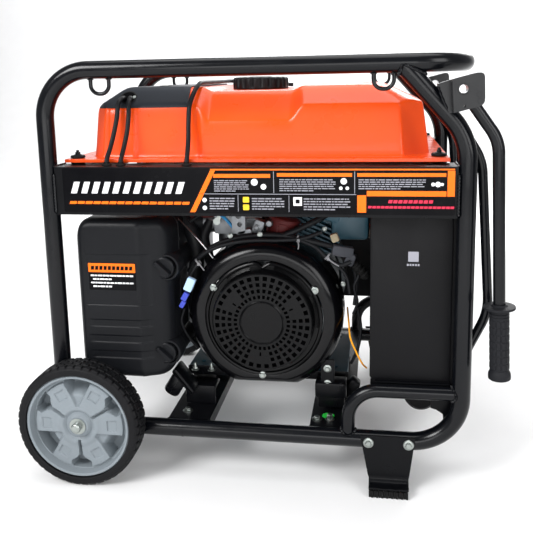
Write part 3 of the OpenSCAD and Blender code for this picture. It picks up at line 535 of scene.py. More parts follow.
# ---------- label strips on the panel beams ----------
label_mat = surface("label_black", (0.0022, 0.0022, 0.003), 0.24, grain=700, bump=0.03, spec=0.08)
ink = {key: surface("ink_" + key, col, rough, grain=800, bump=0.02, vary=vary) for key, col, rough, vary in (
    ("white", (0.80, 0.80, 0.82), 0.32, 0.05),
    ("orange", (0.92, 0.16, 0.008), 0.32, 0.05),
    ("yellow", (0.78, 0.50, 0.03), 0.34, 0.05),
    ("red", (0.62, 0.03, 0.07), 0.34, 0.05),
    ("grey", (0.30, 0.30, 0.34), 0.36, 0.08),
)}


def prism(bm, pts, y0, y1):
    """Outline of (x, z) points made solid between y0 and y1."""
    a = [bm.verts.new((x, y0, z)) for x, z in pts]
    b = [bm.verts.new((x, y1, z)) for x, z in pts]
    n = len(pts)
    bm.faces.new(a)
    bm.faces.new(list(reversed(b)))
    for k in range(n):
        bm.faces.new((a[k], b[k], b[(k + 1) % n], a[(k + 1) % n]))


LABEL_Y = -283.0  # face of the printing on the panel beam
INK = (LABEL_Y, LABEL_Y + 0.5)  # the printing is half a millimetre thick


def strip(bm, x0, x1, z0, z1, y=LABEL_Y, t=0.5, lean=0.0):
    """A plain bar, leaning when its top is shifted."""
    prism(bm, [(x0, z0), (x1, z0), (x1 + lean, z1), (x0 + lean, z1)], y, y + t)


def word_lines(bm, x0, x1, z0, z1, rows, rnd):
    """Rows of short bars that only suggest lines of small print; rnd seeds their widths."""
    for r in range(rows):
        z = z1 - (r + 0.85) * (z1 - z0) / rows
        h = 0.42 * (z1 - z0) / rows
        x = x0
        while x < x1 - 4:
            rnd = (rnd * 1103515245 + 12345) % 2147483648
            w = 3 + rnd % 9
            end = min(x + w, x1)
            if r == rows - 1 and x > x0 + 0.62 * (x1 - x0):
                break
            strip(bm, x, end, z, z + h)
            x = end + 1.4


def panel_label(side):
    """The long printed strip. side -1 is the engine-cover side."""
    inks = {k: bmesh.new() for k in ink}
    base = bmesh.new()
    prism(base, rounded_loop(-352, 343, 510, 590.5, 3), -282.55, -281.9)
    w = inks["white"]
    for k in range(11):
        strip(w, -337 + k * 19.6, -326 + k * 19.6, 545, 566, lean=7)
    o = inks["orange"]
    for k in range(15):
        x = -341 + k * 15.1
        strip(o, x, x + 13, 525.5, 530.5, lean=1.6)
    prism(o, [(-115, 512), (-105.5, 512), (-67, 587.5), (-76, 587.5)], *INK)
    strip(o, -76, 341, 587.0, 589.5)
    for x0, x1, z0, z1 in ((-71, 30, 574, 580.5), (42, 171, 576, 582), (180, 327, 576, 582),
                           (180, 195, 514, 544), (196, 328, 542.5, 551.5), (329.5, 341.5, 542.5, 586)):
        strip(o, x0, x1, z0, z1)
    g = inks["grey"]
    for block in ((-70, -8, 549, 571, 6, 11), (46, 143, 550, 573, 6, 29), (182, 294, 554, 573, 5, 53),
                  (-79, -34, 517, 540, 5, 71), (-3, 54, 517, 540, 5, 97), (88, 168, 517, 540, 5, 131)):
        word_lines(g, *block)
    for rule in ((-96, 178, 544.6, 545.6), (35.5, 36.5, 547, 585), (175, 176, 547, 585),
                 (-28, -27.2, 514, 543), (62, 62.8, 514, 543)):
        strip(g, *rule)
    for cx, cz, r in ((2, 566, 6), (18, 558, 5), (157, 568, 5.5), (152, 556, 3), (163, 556, 3),
                      (306, 563, 3.2), (314, 563, 4.6), (321, 563, 2.6), (-88, 534, 4), (-88, 520, 4)):
        prism(w, [(cx + r * math.cos(a), cz + r * math.sin(a))
                  for a in (2 * math.pi * k / 20 for k in range(20))], *INK)
    strip(w, 70, 85, 525, 540)
    strip(base, 74, 81, 529, 536, -283.4, 0.5)
    y = inks["yellow"]
    for z in (530, 516.5):
        prism(y, rounded_loop(-19, -8, z, z + 10, 1.5, 3), *INK)
    d = inks["red"]
    for k in range(9):
        strip(d, 232 + k * 8.4, 238.6 + k * 8.4, 530.5, 536, lean=1)
    for k in range(20):
        strip(d, 198 + k * 7.2, 204 + k * 7.2, 521.5, 525.5, lean=0.6)
    out = "front" if side < 0 else "rear"
    for key, b in [("base", base)] + list(inks.items()):
        if side > 0:
            bmesh.ops.scale(b, vec=(-1, -1, 1), verts=b.verts)
            bmesh.ops.translate(b, vec=(-8, 0, 0), verts=b.verts)
        add_piece("label_" + key + "_" + out, b, label_mat if key == "base" else ink[key], smooth=None)


panel_label(-1)
panel_label(1)


# ---------- weld beads ----------
def weld(bm, pts, r=2.6, seed=1):
    """A ripply bead along a path."""
    path = smooth_path(pts, 7)
    rad = [r * (0.92 + 0.16 * math.sin(k * 1.9 + seed)) for k in range(len(path))]
    rad[0] = rad[-1] = r * 0.45
    sweep(bm, path, rad, 8)


def saddle(centre, main_axis, r_branch, branch_axis, n=28):
    """Points of the seam where a branch tube runs into a frame tube."""
    c = Vector(centre)
    m, b = Vector(main_axis).normalized(), Vector(branch_axis).normalized()
    u = b.cross(m).normalized()
    v = b.cross(u)
    pts = []
    for k in range(n + 1):
        a = 2 * math.pi * k / n
        off = (r_branch + 0.6) * (math.cos(a) * u + math.sin(a) * v)
        side = off - m * off.dot(m)
        along = b - m * b.dot(m)
        bb, cc = along.dot(side), side.dot(side) - (TUBE_R + 0.4) ** 2
        aa = along.dot(along)
        disc = max(0.0, bb * bb - aa * cc)
        t = (-bb + math.sqrt(disc)) / aa
        pts.append(c + off + b * t)
    return pts


FRAME_Y, TOP_Z, LOW_Z = 270.0, 765.0, 91.0  # centre lines of the frame's sides, top and bottom rails
POST_L, POST_R, TUBE_R, HOOP_R = -383.0, 363.0, 16.0, 12.5
DIAGONAL = (math.sin(math.radians(41.6)), 0, -math.cos(math.radians(41.6)))
bm = bmesh.new()
for s in (-1, 1):
    y = s * FRAME_Y
    weld(bm, saddle((254.7, y, 762), (1, 0, 0), TUBE_R, DIAGONAL), 3.0)
    weld(bm, saddle((164, y, LOW_Z), (1, 0, 0), HOOP_R, (0, 0, 1)), 2.6, 2)
    weld(bm, saddle((POST_R, y, 185), (0, 0, 1), HOOP_R, (-1, 0, 0)), 2.6, 3)
    for x in (-275, 223):
        for d in (-17, 17):
            weld(bm, saddle((x + d, y, TOP_Z), (1, 0, 0), 3.6, (0, 0, -1), 12), 1.5, x + d)
    for x, k in ((POST_L + 15.2, 1), (POST_R - 15.2, -1)):
        weld(bm, [(x, s * 283, z) for z in range(508, 592, 12)], 2.7, k)
        weld(bm, [(x + k * 0.5, s * 230, 593.4), (x, s * 245, 593.6), (x - k, s * 262, 593.6),
                  (x, s * 281, 593.4)], 2.2, k)
    for e in (-180, -99, 92, 173):
        weld(bm, [(e, s * y, z) for y, z in ((254.5, 89), (256.2, 97), (261, 104.6))], 2.2, e)
    for e in (-350, -304):
        weld(bm, [(e, s * y, z) for y, z in ((253.8, 86), (253.8, 96), (255.5, 101))], 2.0, e)
    weld(bm, [(310, s * 284.5, 728), (317, s * 285.5, 708), (328, s * 284.5, 684)], 2.6, 5)
    weld(bm, [(313, s * 276, 676), (330, s * 272, 660), (338, s * 266, 655)], 2.2, 6)
add_piece("weld_beads", bm, "frame_black")

# sleeve joint: a shallow collar and two dimples on each bottom rail
bm = bmesh.new()
for s in (-1, 1):
    lathe(bm, [(15.8, -1.6), (16.5, -1.4), (16.7, 0), (16.5, 1.4), (15.8, 1.6), (15.8, -1.6)],
          (-148, s * FRAME_Y, LOW_Z), "+X", 48)
    for x in (-150.5, -145.5):
        for a in (20, 60):
            n = Vector((0, s * math.cos(math.radians(a)), math.sin(math.radians(a))))
            c = Vector((x, s * FRAME_Y, LOW_Z)) + n * 15.6
            lathe(bm, [(0, 0), (1.6, 0), (1.3, 1.0), (0, 1.3)], c, n, 12)
add_piece("rail_sleeves", bm, "frame_black")

# ---------- wheels ----------
WX, WZ, WHEEL_Y = -330.0, 117.5, 318.0
HUB_K = 100.0 / 98.0  # from the profile's own radius of 98 to the hub's 100
TYRE_EXTRA = 2.0  # the same step, for the tyre's profile


def polar(r, ang, w):
    """Degrees away from spoke w, then how far across and along that spoke."""
    d = abs((ang - w + 180) % 360 - 180)
    t = math.radians(min(d, 90))
    return d, r * math.sin(t), r * math.cos(t)


def hub_step(r):
    """Height of the plain steps round the axle."""
    return 17.5 if r < 12 else 20.0 if r < 20 else 19.0 - (r - 20) * 0.9


def tyre_cut(r, h, phase):
    """How deep the tread is cut at one place of its repeat."""
    if abs(h) > 11.4 and r > 111:  # shoulder blocks
        return (2.4 if r > 114 else 0.8) if phase in (0, 1) else 0.0
    if r <= 114:
        return 0.0
    if abs(abs(h) - 10.9) < 0.2:  # groove round the tyre
        return 2.2
    if (phase in (5, 6) and h > 0) or (phase in (7, 8) and h < 0):
        return 1.9
    return 1.2 if abs(h) < 1.0 and phase in (2, 3) else 0.0


def wheel_height(r, ang):
    """Height of the hub's outer face over its middle plane, from radius and angle (degrees from the top)."""
    rim = ease(r, 87.5, 92.5)
    floor_h = 9.0
    lobe = 15.5 - 0.045 * max(0.0, r - 45)
    z = lobe + 2.6 * (1 - ease(r, 34, 44)) - 4.2 * (1 - ease(r, 24, 31))
    for w in (0, 120, 240):  # wide V-shaped windows
        d, off, _ = polar(r, ang, w)
        half = 4.0 + max(0.0, r - 40) * 0.47
        inside = (1 - ease(off, half - 1.5, half + 1.5)) * ease(r, 35.5, 40) * (1 if d < 90 else 0)
        z -= inside * (6.0 + 28.0 * ease(r, 54, 72))
    for w in (60, 180, 300):  # narrow slots that open into a pocket at the rim
        d, off, _ = polar(r, ang, w)
        slot = (1 - ease(off, 1.6, 3.4)) * ease(r, 28, 33) * (1 if d < 90 else 0)
        half = 5.0 + 13.0 * ease(r, 63, 76)
        pocket = (1 - ease(off, half - 1.4, half + 1.4)) * ease(r, 61, 64.5) * (1 if d < 90 else 0)
        z -= max(slot * 10.0, pocket * 29.0)
    for w in range(30, 360, 60):  # square pads pressed into the lobes
        d, off, along = polar(r, ang, w)
        if d < 40:
            z -= 2.4 * (1 - ease(off, 9.2, 10.4)) * ease(along, 53.0, 54.4) * (1 - ease(along, 70.0, 71.4))
    z = z + (min(z, floor_h) - z) * ease(r, 82.5, 84.5)
    z = z + (floor_h - z) * ease(r, 84.5, 86.5)
    return z + (24.0 - z) * rim - 3.0 * ease(r, 95.5, 98)


def wheel(side, axis, body, label):
    """One wheel: the hub and the tyre, mirrored by side."""
    def spot(a, r, h):
        return WX + r * math.sin(a), side * (WHEEL_Y + h), WZ + r * math.cos(a)

    bm = bmesh.new()
    radii = [9.0, 11, 13, 16, 19, 22, 24.5, 26.5, 28.5, 30.5, 32, 34, 36, 38, 40.5, 43, 46, 49, 52, 53.5, 54.6, 57,
             60, 62, 63.6, 65, 67.5, 69.6, 71, 72.6, 75, 78, 80.4, 82.4, 83.5, 84.6, 85.6, 86.6, 88, 89.3, 90.4,
             91.6, 93.5, 95.5, 97, 97.9]
    back = ((98, 0), (98, -24), (97, -26.5), (92, -26.5), (91, -24), (89, -22), (40, -21.5), (24, -23), (22, -26),
            (9, -26))
    steps = 360
    rows = [ring(bm, steps, lambda a, k: spot(a, r * HUB_K, wheel_height(r, 360 * k / steps) if r > 23
                                              else hub_step(r))) for r in radii]
    rows += [ring(bm, steps, lambda a, k: spot(a, r * HUB_K, h)) for r, h in back]
    grid_rows(bm, rows, closed_u=True, closed_v=True)
    add_piece("wheel_hub_" + label, bm, "hub_grey", body, math.radians(34), stands_for=("hub_" + label,))

    # tyre: smooth side walls, serrated shoulder, blocks across the tread
    bm = bmesh.new()
    blocks, per = 46, 10
    half = [(98.2, 26), (100, 26.6), (105, 27.0), (109.5, 26.4), (111.6, 25.0), (112.6, 23.0), (115.0, 21.2),
            (115.3, 17), (115.3, 12), (115.3, 10.9), (115.4, 9.6), (115.4, 6), (115.4, 0.8)]
    prof = [(r, -h) for r, h in half] + half[::-1]
    grid_rows(bm, [ring(bm, blocks * per, lambda a, k: spot(a, r + TYRE_EXTRA - tyre_cut(r, h, k % per), h))
                   for r, h in prof], closed_u=True, closed_v=True)
    for r, h in ((105.5, 27.05), (110, 26.75)):  # fine rings on the outer side wall
        lathe(bm, [(r - 0.4, h - 0.5), (r - 0.3, h + 0.05), (r + 0.3, h + 0.05), (r + 0.4, h - 0.5),
                   (r - 0.4, h - 0.5)], (WX, side * WHEEL_Y, WZ), axis, 120)
    add_piece("wheel_tyre_" + label, bm, "tyre_rubber", body, math.radians(36), stands_for=("tyre_" + label,))


for (s, ax), label in zip(SIDES, ("front", "rear")):
    wheel(s, ax, "wheel_" + label, label)
turned("axle_push_caps", "zinc", [(0, 0), (8.6, 0), (9.2, 1.0), (8.9, 3.4), (7.8, 4.9), (5, 5.7), (0, 6.0)],
       [((WX, s * 345.6, WZ), ax) for s, ax in SIDES], 40, stands_for=("axle_caps",))
bm = bmesh.new()
for s, ax in SIDES:
    for profile in ([(8.1, 338.6), (15, 338.6), (15.4, 339.2), (15.4, 340.2), (8.1, 340.6), (8.1, 338.6)],
                    [(8.1, 287.4), (14, 287.4), (14, 290), (8.1, 290), (8.1, 287.4)]):
        lathe(bm, profile, (WX, 0, WZ), ax, 36)
add_piece("axle_washers", bm, "zinc")


# ---------- handle grips ----------
def grip(side, body, label):
    """Rubber sleeve with raised blocks, fine rings and a guard disc."""
    end, elbow = Vector((422, side * 298, 233)), Vector((407, side * 298, 637))
    ax = (elbow - end).normalized()
    bm = bmesh.new()
    cols, per, blocks, pitch = 12, 8, 7, 12.7
    prof = [(10.2, -2.6), (17.2, -2.8), (18.4, -1.8), (18.9, 1), (18.6, 7), (17.4, 10), (16.2, 12.4), (16.0, 14.5)]
    first = h = 14.5
    for _ in range(blocks):
        prof += [(15.2, h + 0.7), (15.2, h + 2.0), (16.5, h + 2.7), (16.6, h + 7.3), (16.5, h + 12.0)]
        h += pitch
    for _ in range(3):
        prof += [(15.2, h + 0.7), (15.2, h + 1.8), (16.5, h + 2.5), (16.5, h + 5.0)]
        h += 5.4
    prof += [(16.4, 121.6), (23, 121.9), (26.2, 122.4), (26.8, 123.9), (26.2, 126.2), (22, 126.8), (14, 127),
             (10.4, 129.4), (10.2, 129.4)]
    u = ax.cross(Vector((0, 1, 0))).normalized()
    v = ax.cross(u)
    rows = []
    for r, hh in prof:
        cut = 15.3 if r > 16.3 and 15 < hh < first + blocks * pitch else r
        rows.append(ring(bm, cols * per, lambda a, k: end + ax * hh + (cut if k % per in (0, 1) else r)
                         * (math.cos(a) * u + math.sin(a) * v)))
    grid_rows(bm, rows, closed_u=True, closed_v=True)
    lathe(bm, [(0, -1.4), (9.6, -1.4), (10.4, -0.4), (10.4, 2), (0, 2)], end, ax, 32)
    add_piece("rubber_grip_" + label, bm, "grip_rubber", body, math.radians(30), stands_for=("grip_" + label,))


grip(-1, "handle_f", "front")
grip(1, "handle_r", "rear")


# ---------- air filter housing ----------
def cover_shell(bm, xa, xb, za, zb, y_back, front_of, corner, edge, z_lines, relief):
    """A moulded tub: stations across x, each a rounded section from the bottom lip round to the top lip."""
    stations = [(xa, y_back - 1.0, 0.0), (xa, y_back - 12.0, 0.0)]
    arc = [math.pi / 2 * k / 7 for k in range(8)]
    stations += [(xa + edge * (1 - math.cos(a)), None, math.sin(a)) for a in arc]
    x = xa + edge
    while x < xb - edge - 4:
        x += 4.0
        stations.append((x, None, 1.0))
    stations += [(xb - edge * (1 - math.sin(a)), None, math.cos(a)) for a in arc]
    stations += [(xb, y_back - 12.0, 0.0), (xb, y_back - 1.0, 0.0)]
    rows = []
    for x, y_fix, share in stations:
        yf = y_fix if y_fix is not None else front_of(x) + edge * (1 - share)
        dx = min(x - xa, xb - x)
        dz = corner - math.sqrt(max(0.0, corner ** 2 - max(0.0, corner - dx) ** 2))
        z0, z1 = za + dz, zb - dz
        rb = max(0.5, min(edge, (y_back - yf) * 0.8))
        pts = [(y_back, z0)]
        pts += [(yf + rb * (1 - math.sin(a)), z0 + rb * (1 - math.cos(a))) for a in arc]
        for z in z_lines:
            zz = min(max(z, z0 + rb + 0.01), z1 - rb - 0.01)
            pts.append((yf + (relief(x, zz) if share > 0.995 else 0.0), zz))
        pts += [(yf + rb * (1 - math.cos(a)), z1 - rb * (1 - math.sin(a))) for a in arc]
        pts.append((y_back, z1))
        rows.append([bm.verts.new((x, y, z)) for y, z in pts])
    grid_rows(bm, rows)
    bm.faces.new(rows[0])
    bm.faces.new(rows[-1])
    bm.faces.new([r[0] for r in rows] + [r[-1] for r in reversed(rows)])


def filter_front(x):
    """Depth of the cover's face, which falls away towards its right edge."""
    return -265.0 + 0.42 * max(0.0, x + 226.0) * ease(x, -232, -214)


def filter_relief(x, z):
    """A recessed label panel and three pressed bands."""
    panel = ease(x, -331.5, -329.5) * (1 - ease(x, -206, -204)) * ease(z, 327, 329) * (1 - ease(z, 425.5, 427.5))
    out = 1.3 * panel
    for zc in (300, 269, 238):
        band = ease(z, zc - 16, zc - 12.5) * (1 - ease(z, zc - 1.5, zc + 0.5))
        out += 1.5 * band * ease(x, -324, -321) * (1 - ease(x, -208, -205))
    return out


z_lines = sorted({round(a + st * k, 1) for a, b, st in (
    (200, 476, 9.2), (324, 332, 1.0), (423, 430, 1.0), (220, 243, 1.1), (251, 274, 1.1), (282, 305, 1.1))
    for k in range(int((b - a) / st) + 1)})
bm = bmesh.new()
cover_shell(bm, -346, -168, 182, 494, -179.5, filter_front, 32, 19, z_lines, filter_relief)
add_piece("filter_cover", bm, "filter_black", stands_for=("air_filter_cover",))
bm = bmesh.new()
shells(bm, [[(x, y, z) for x, z in rounded_loop(-346 + d, -168 - d, 182 + d, 494 - d, 32 - d, 8)] for d, y in (
    (0.4, -182.2), (-0.8, -181.6), (-1.2, -179.8), (-0.8, -178.0), (0.4, -177.4))])
add_piece("filter_seam", bm, "filter_black")

bm, gm, om, wm = (bmesh.new() for _ in range(4))
prism(bm, rounded_loop(-321, -229.5, 358, 410, 1.5, 3), -264.75, -263.6)
prism(om, rounded_loop(-321, -229.5, 392.4, 409.6, 1.0, 3), -265.1, -264.6)
for k, (x1, z) in enumerate(((-234, 384.5), (-276, 377.5), (-234, 370.5), (-276, 363.5))):
    x = -317 + (4 if k % 2 else 0)
    n = 0
    while x < x1:
        step_w = (7, 4, 9, 5, 6)[n % 5]
        strip(wm, x, min(x + step_w, x1), z, z + 2.8, -265.1, 0.5)
        x += step_w + 1.4
        n += 1
for k in range(10):
    strip(gm, -316 + k * 8.3, -310 + k * 8.3, 397, 404.5, -265.4, 0.5, 0.8)
for name, mesh, mat in (("base", bm, label_mat), ("orange", om, ink["orange"]), ("white", wm, ink["white"]),
                        ("marks", gm, label_mat)):
    add_piece("filter_label_" + name, mesh, mat, smooth=None)


def filter_knob(x, z, body):
    """A dial with a milled edge and a slanted grip bar."""
    bm = bmesh.new()
    rows = []
    for r, h in ((4, -46), (4, -2), (20.5, -2), (21, -1), (21, 9), (20.3, 11.2), (18.6, 12.6), (17, 12.9),
                 (16.2, 12.2), (0.01, 12.0)):
        cut = 0.9 if r > 20.4 else 0.0
        rows.append(ring(bm, 72, lambda a, k: (x + (r - cut * (k % 4 < 2)) * math.cos(a), -236.5 - h,
                                               z + (r - cut * (k % 4 < 2)) * math.sin(a))))
    tube_rows(bm, rows)
    c, s = math.cos(math.radians(-42)), math.sin(math.radians(-42))
    wide, bar = rounded_loop(-18.5, 18.5, -5.4, 5.4, 3.6, 4), rounded_loop(-17.5, 17.5, -4.2, 4.2, 3.2, 4)
    shells(bm, [[(x + (u * c - v * s) * size, y, z + (u * s + v * c) * size) for u, v in loop] for loop, y, size in (
        (wide, -247.5, 1), (wide, -252, 1), (bar, -258.6, 1), (bar, -259.6, 0.9))])
    add_piece(body + "_dial", bm, "filter_black", body, math.radians(32), stands_for=("filter_" + body,))


filter_knob(-181, 398, "knob_upper")
filter_knob(-184, 230, "knob_lower")
turned("knob_wells", "filter_black", [(21.6, 0), (25.6, 0), (26.2, 2), (26.0, 36), (24.6, 38), (21.6, 38), (21.6, 0)],
       [((-177, -206, 398), "-Y"), ((-180, -206, 230), "-Y")], 44)

# ---------- fan cover of the engine ----------
CX, CZ = 2.0, 293.0  # crankshaft axis
FLAT = 158.0  # the shell is cut off flat at this height


def around(r, a, y, low=0.0):
    """A point at radius r round the crankshaft axis, kept above low."""
    return CX + r * math.sin(a), y, max(low, CZ + r * math.cos(a))


bm = bmesh.new()
rows = [ring(bm, 160, lambda a, k: around(r, a, y, FLAT + f)) for r, y, f in (
    (148.5, -120, 0.5), (150, -124, 0), (150, -176, 0), (149.2, -186, 0.4), (146.5, -195, 2), (142, -202.5, 5),
    (136, -208, 9), (129.5, -211, 13), (126, -211.6, 16), (117.5, -212.2, 20), (114.5, -211.4, 22),
    (113.6, -208, 23), (113.2, -203, 24), (113.2, -196, 24), (145, -190, 3), (146.5, -150, 2.5),
    (146.5, -120, 2.5))]
grid_rows(bm, rows, closed_u=True, closed_v=True)
add_piece("fan_cover_shell", bm, "shroud_black", smooth=math.radians(38), stands_for=("fan_shroud",))

# recoil ring: stepped dish with a notch at the top, louvres, and the pierced grille in the middle
bm = bmesh.new()
rows = []
for r, y in ((112.6, -206), (112.8, -213.6), (111.6, -215.8), (109.6, -216.8), (107.2, -216.2), (106.4, -213.8),
             (105.6, -211.6), (97.5, -211.2), (96.6, -213), (96.2, -229), (95.2, -233.6), (93, -235.8), (93, -232),
             (94.2, -229), (94.6, -208.6), (105, -208.4)):
    notch = 0.0 if r <= 104 else 9.0 if r > 105 else 5.4
    rows.append(ring(bm, 180, lambda a, k: around(r - notch * max(0.0, 1 - min(k, 180 - k) / 3.5), a, y)))
grid_rows(bm, rows, closed_u=True, closed_v=True)
for k in range(5):  # concentric louvre fins in two groups at the top, one at the right
    for a0, a1 in ((-42, -14), (12, 40), (62, 100)):
        sweep(bm, [around(98.4 + k * 1.75, math.radians(a), -212.4 - 0.3 * (k % 2))
                   for a in range(a0, a1 + 1, 4)], 0.62, 6)
add_piece("recoil_ring", bm, "engine_black", smooth=math.radians(32), stands_for=("fan_grille",))


def pierced(bm, radii, marks, n, y_of, thick, hole):
    """A round plate whose cells are left out where hole(ring, spoke) says so."""
    ang = [2 * math.pi * (k + m) / n for k in range(n) for m in marks]
    na, nm = len(ang), len(marks)
    front, rear = ([[bm.verts.new(around(r, a, y_of(r) + back)) for a in ang] for r in radii] for back in (0, thick))
    cell = [[not hole(i, j // nm, j % nm) for j in range(na)] for i in range(len(radii) - 1)]
    for i in range(len(radii) - 1):
        for j in range(na):
            j2 = (j + 1) % na
            if cell[i][j]:
                bm.faces.new((front[i][j], front[i][j2], front[i + 1][j2], front[i + 1][j]))
                bm.faces.new((rear[i][j], rear[i + 1][j], rear[i + 1][j2], rear[i][j2]))
                if not cell[i][j2]:
                    bm.faces.new((front[i][j2], rear[i][j2], rear[i + 1][j2], front[i + 1][j2]))
                if not cell[i][j - 1]:
                    bm.faces.new((front[i][j], front[i + 1][j], rear[i + 1][j], rear[i][j]))
                if i + 1 < len(radii) - 1 and not cell[i + 1][j]:
                    bm.faces.new((front[i + 1][j], front[i + 1][j2], rear[i + 1][j2], rear[i + 1][j]))
                if i > 0 and not cell[i - 1][j]:
                    bm.faces.new((front[i][j], rear[i][j], rear[i][j2], front[i][j2]))
    for j in range(na):
        j2 = (j + 1) % na
        bm.faces.new((front[-1][j], front[-1][j2], rear[-1][j2], rear[-1][j]))
    bm.faces.new(front[0])
    bm.faces.new(list(reversed(rear[0])))


RINGS = [30, 38.5, 40.5, 42.6, 47.0, 53.5, 58.2, 65.4, 70.0, 77.2, 81.6, 89.6, 93.6]
HOLE_BANDS = (4, 6, 8, 10)  # which bands between those rings are pierced


def grille_y(r):
    """Depth of the grille: a flat disc, a raised bead, then a slight dish."""
    if r < 39:
        return -236.4
    if r < 41:
        return -238.4
    if r < 43:
        return -236.6
    return -236.4 + 0.020 * (r - 43)


def grille_hole(i, spoke, part):
    """Slots in every pierced band, closed near three spokes in the middle two."""
    if i not in HOLE_BANDS or part not in (1, 2):
        return False
    if i in (6, 8):
        for gap in (6, 18, 30):
            away = min((spoke - gap) % 36, (gap - spoke) % 36)
            if away == 0 and i == 6 and part == 1:
                return True
            if away <= 1:
                return False
    return True


bm = bmesh.new()
pierced(bm, RINGS, (0.0, 0.22, 0.5, 0.78), 36, grille_y, 2.4, grille_hole)
add_piece("recoil_grille", bm, "engine_black", smooth=math.radians(30))
# painted shade: a near-black disc behind the grille darkens its slots to stand for the shade inside the fan cover
turned("recoil_painted_shade_disc", "painted_shade_black", [(0, 0), (92.5, 0), (92.5, 1.5), (0, 1.5)], [((CX, -221, CZ), "-Y")], 72,
       slot="engine_black")
bm, zn = bmesh.new(), bmesh.new()
for x, z in ((-93, 352.6), (100, 352), (-2, 181)):
    lathe(bm, [(0, -6), (8.4, -6), (8.8, -4), (8.8, 1.6), (7.6, 2.4), (0, 2.6)], (x, -212, z), "-Y", 28)
    hex_bolt(zn, (x, -214.6, z), "-Y", 4.6, 3.6, 7)
add_piece("recoil_tabs", bm, "shroud_black")
add_piece("recoil_bolts", zn, "zinc")

# ---------- shield box at the handle end ----------
bm = bmesh.new()
soft_box(bm, (202, 345), (-256, -20), (200, 502), 7, 2.4, 5)
shield = add_piece("shield_box", bm, "panel_black", stands_for=("muffler_shield",))
cut_with(shield, lambda b: prism(b, rounded_loop(204.5, 342.5, 190, 499, 5, 4), -253, 10))
drill(shield, 17, 20, (345, -120, 440), "+X", 36)
for z in range(240, 457, 24):
    cut_with(shield, lambda b: soft_box(b, (338, 350), (-230, -150), (z, z + 8), 3.4, 0.5))
bm = bmesh.new()
prism(bm, rounded_loop(203.4, 343.6, 186, 201, 2, 3), -255, -252.6)
prism(bm, rounded_loop(340, 352.5, 188, 500.5, 1.5, 3), -253.4, -251.9)
add_piece("shield_hem", bm, "panel_black")

# small service plate on the shield box: plain bars only
bm = bmesh.new()
prism(bm, rounded_loop(268, 286, 422, 440, 1, 3), -256.5, -255.9)
for k in range(5):
    strip(bm, 266 + k * 4.6, 269.2 + k * 4.6, 414.5, 418, -256.5, 0.6)
add_piece("shield_label", bm, ink["grey"], smooth=None)


# ---------- feet ----------
def bent_sheet(bm, path, widths, thick, press_of):
    """A folded sheet. path is [(y, z)...], widths [(x0, x1)...] at the same points."""
    pts = [Vector((0, y, z)) for y, z in path]
    outer, inner = [], []
    for i, p in enumerate(pts):
        t = (pts[min(i + 1, len(pts) - 1)] - pts[max(i - 1, 0)]).normalized()
        nrm = Vector((0, -t.z, t.y))
        x0, x1 = widths[i]
        xs = [x0 + (x1 - x0) * k / 12 for k in range(13)]
        press = [press_of((x - x0) / (x1 - x0)) for x in xs]
        for rows, half in ((outer, thick / 2), (inner, -thick / 2)):
            rows.append([bm.verts.new(Vector((x, p.y, p.z)) + nrm * (half + d)) for x, d in zip(xs, press)])
    closed_sheet(bm, outer, inner)


def foot_press(t):
    """Two shallow ribs down the foot plate."""
    return 0.9 * (ease(t, 0.30, 0.36) - ease(t, 0.40, 0.46) + ease(t, 0.56, 0.62) - ease(t, 0.66, 0.72))


bm, pad, bolts = (bmesh.new() for _ in range(3))
TEETH, SHOE_X, SHOE_W = 16, 202.5, 70.0
for s, ax in SIDES:
    path = [(s * 288.2, 106.5 - k * 9.4) for k in range(9)]
    widths = [(186 + 16 * k / 9, 284 - 11 * k / 9) for k in range(9)] + [(202, 273)] * 10
    for k in range(1, 8):
        a = math.radians(90 * k / 7)
        path.append((s * (288.2 + 11 * (1 - math.cos(a))), 28.2 - 11 * math.sin(a)))
    path += [(s * y, 17.2) for y in (303, 308, 313.2)]
    bent_sheet(bm, path, widths, 3.2, foot_press)
    # rubber shoe with a toothed front edge and grooved sole
    for k in range(TEETH):
        x0 = SHOE_X + SHOE_W * k / TEETH
        x1 = x0 + SHOE_W / TEETH - (0.8 if k % 2 else -0.05)
        y_out = 315.6 if k % 2 else 314.2
        shells(pad, [[(x, s * y, z) for y, z in (
            (284.8, 2.0), (286, 0.2), (y_out - 1.4, 0.2), (y_out, 3.0), (y_out - 0.8, 13.2), (284.8, 13.9))]
            for x in (x0, x1)])
    for x in (201, 272):
        c = (x, s * 289.8, 93)
        lathe(bolts, [(0, 0), (9.4, 0), (9.8, 1.0), (8.8, 2.6), (6.6, 3.4), (0, 3.6)], c, ax, 36)
        lathe(bolts, [(0, 3.0), (6.2, 3.2), (6.0, 6.0), (4.6, 7.2), (0, 7.4)], c, ax, 6)
add_piece("foot_sheets", bm, "plate_black", smooth=math.radians(28), stands_for=("foot_plates",))
add_piece("foot_shoes", pad, "mount_rubber", smooth=math.radians(20), stands_for=("foot_pads",))
add_piece("foot_bolt_heads", bolts, "zinc", smooth=math.radians(30), stands_for=("frame_bolts",))


# ---------- handle brackets: two folded plates with rounded outer corners ----------
def round_outline(pts, radii, seg=5):
    """Outline of (x, z) points with each corner rounded."""
    out = []
    for i, (p, r) in enumerate(zip(pts, radii)):
        p = Vector(p)
        a = (Vector(pts[i - 1]) - p).normalized()
        b = (Vector(pts[(i + 1) % len(pts)]) - p).normalized()
        for k in range(seg + 1) if r else (0,):
            t = k / seg
            out.append(p + a * r * (1 - t) ** 2 + b * r * t ** 2)
    return [(v.x, v.y) for v in out]


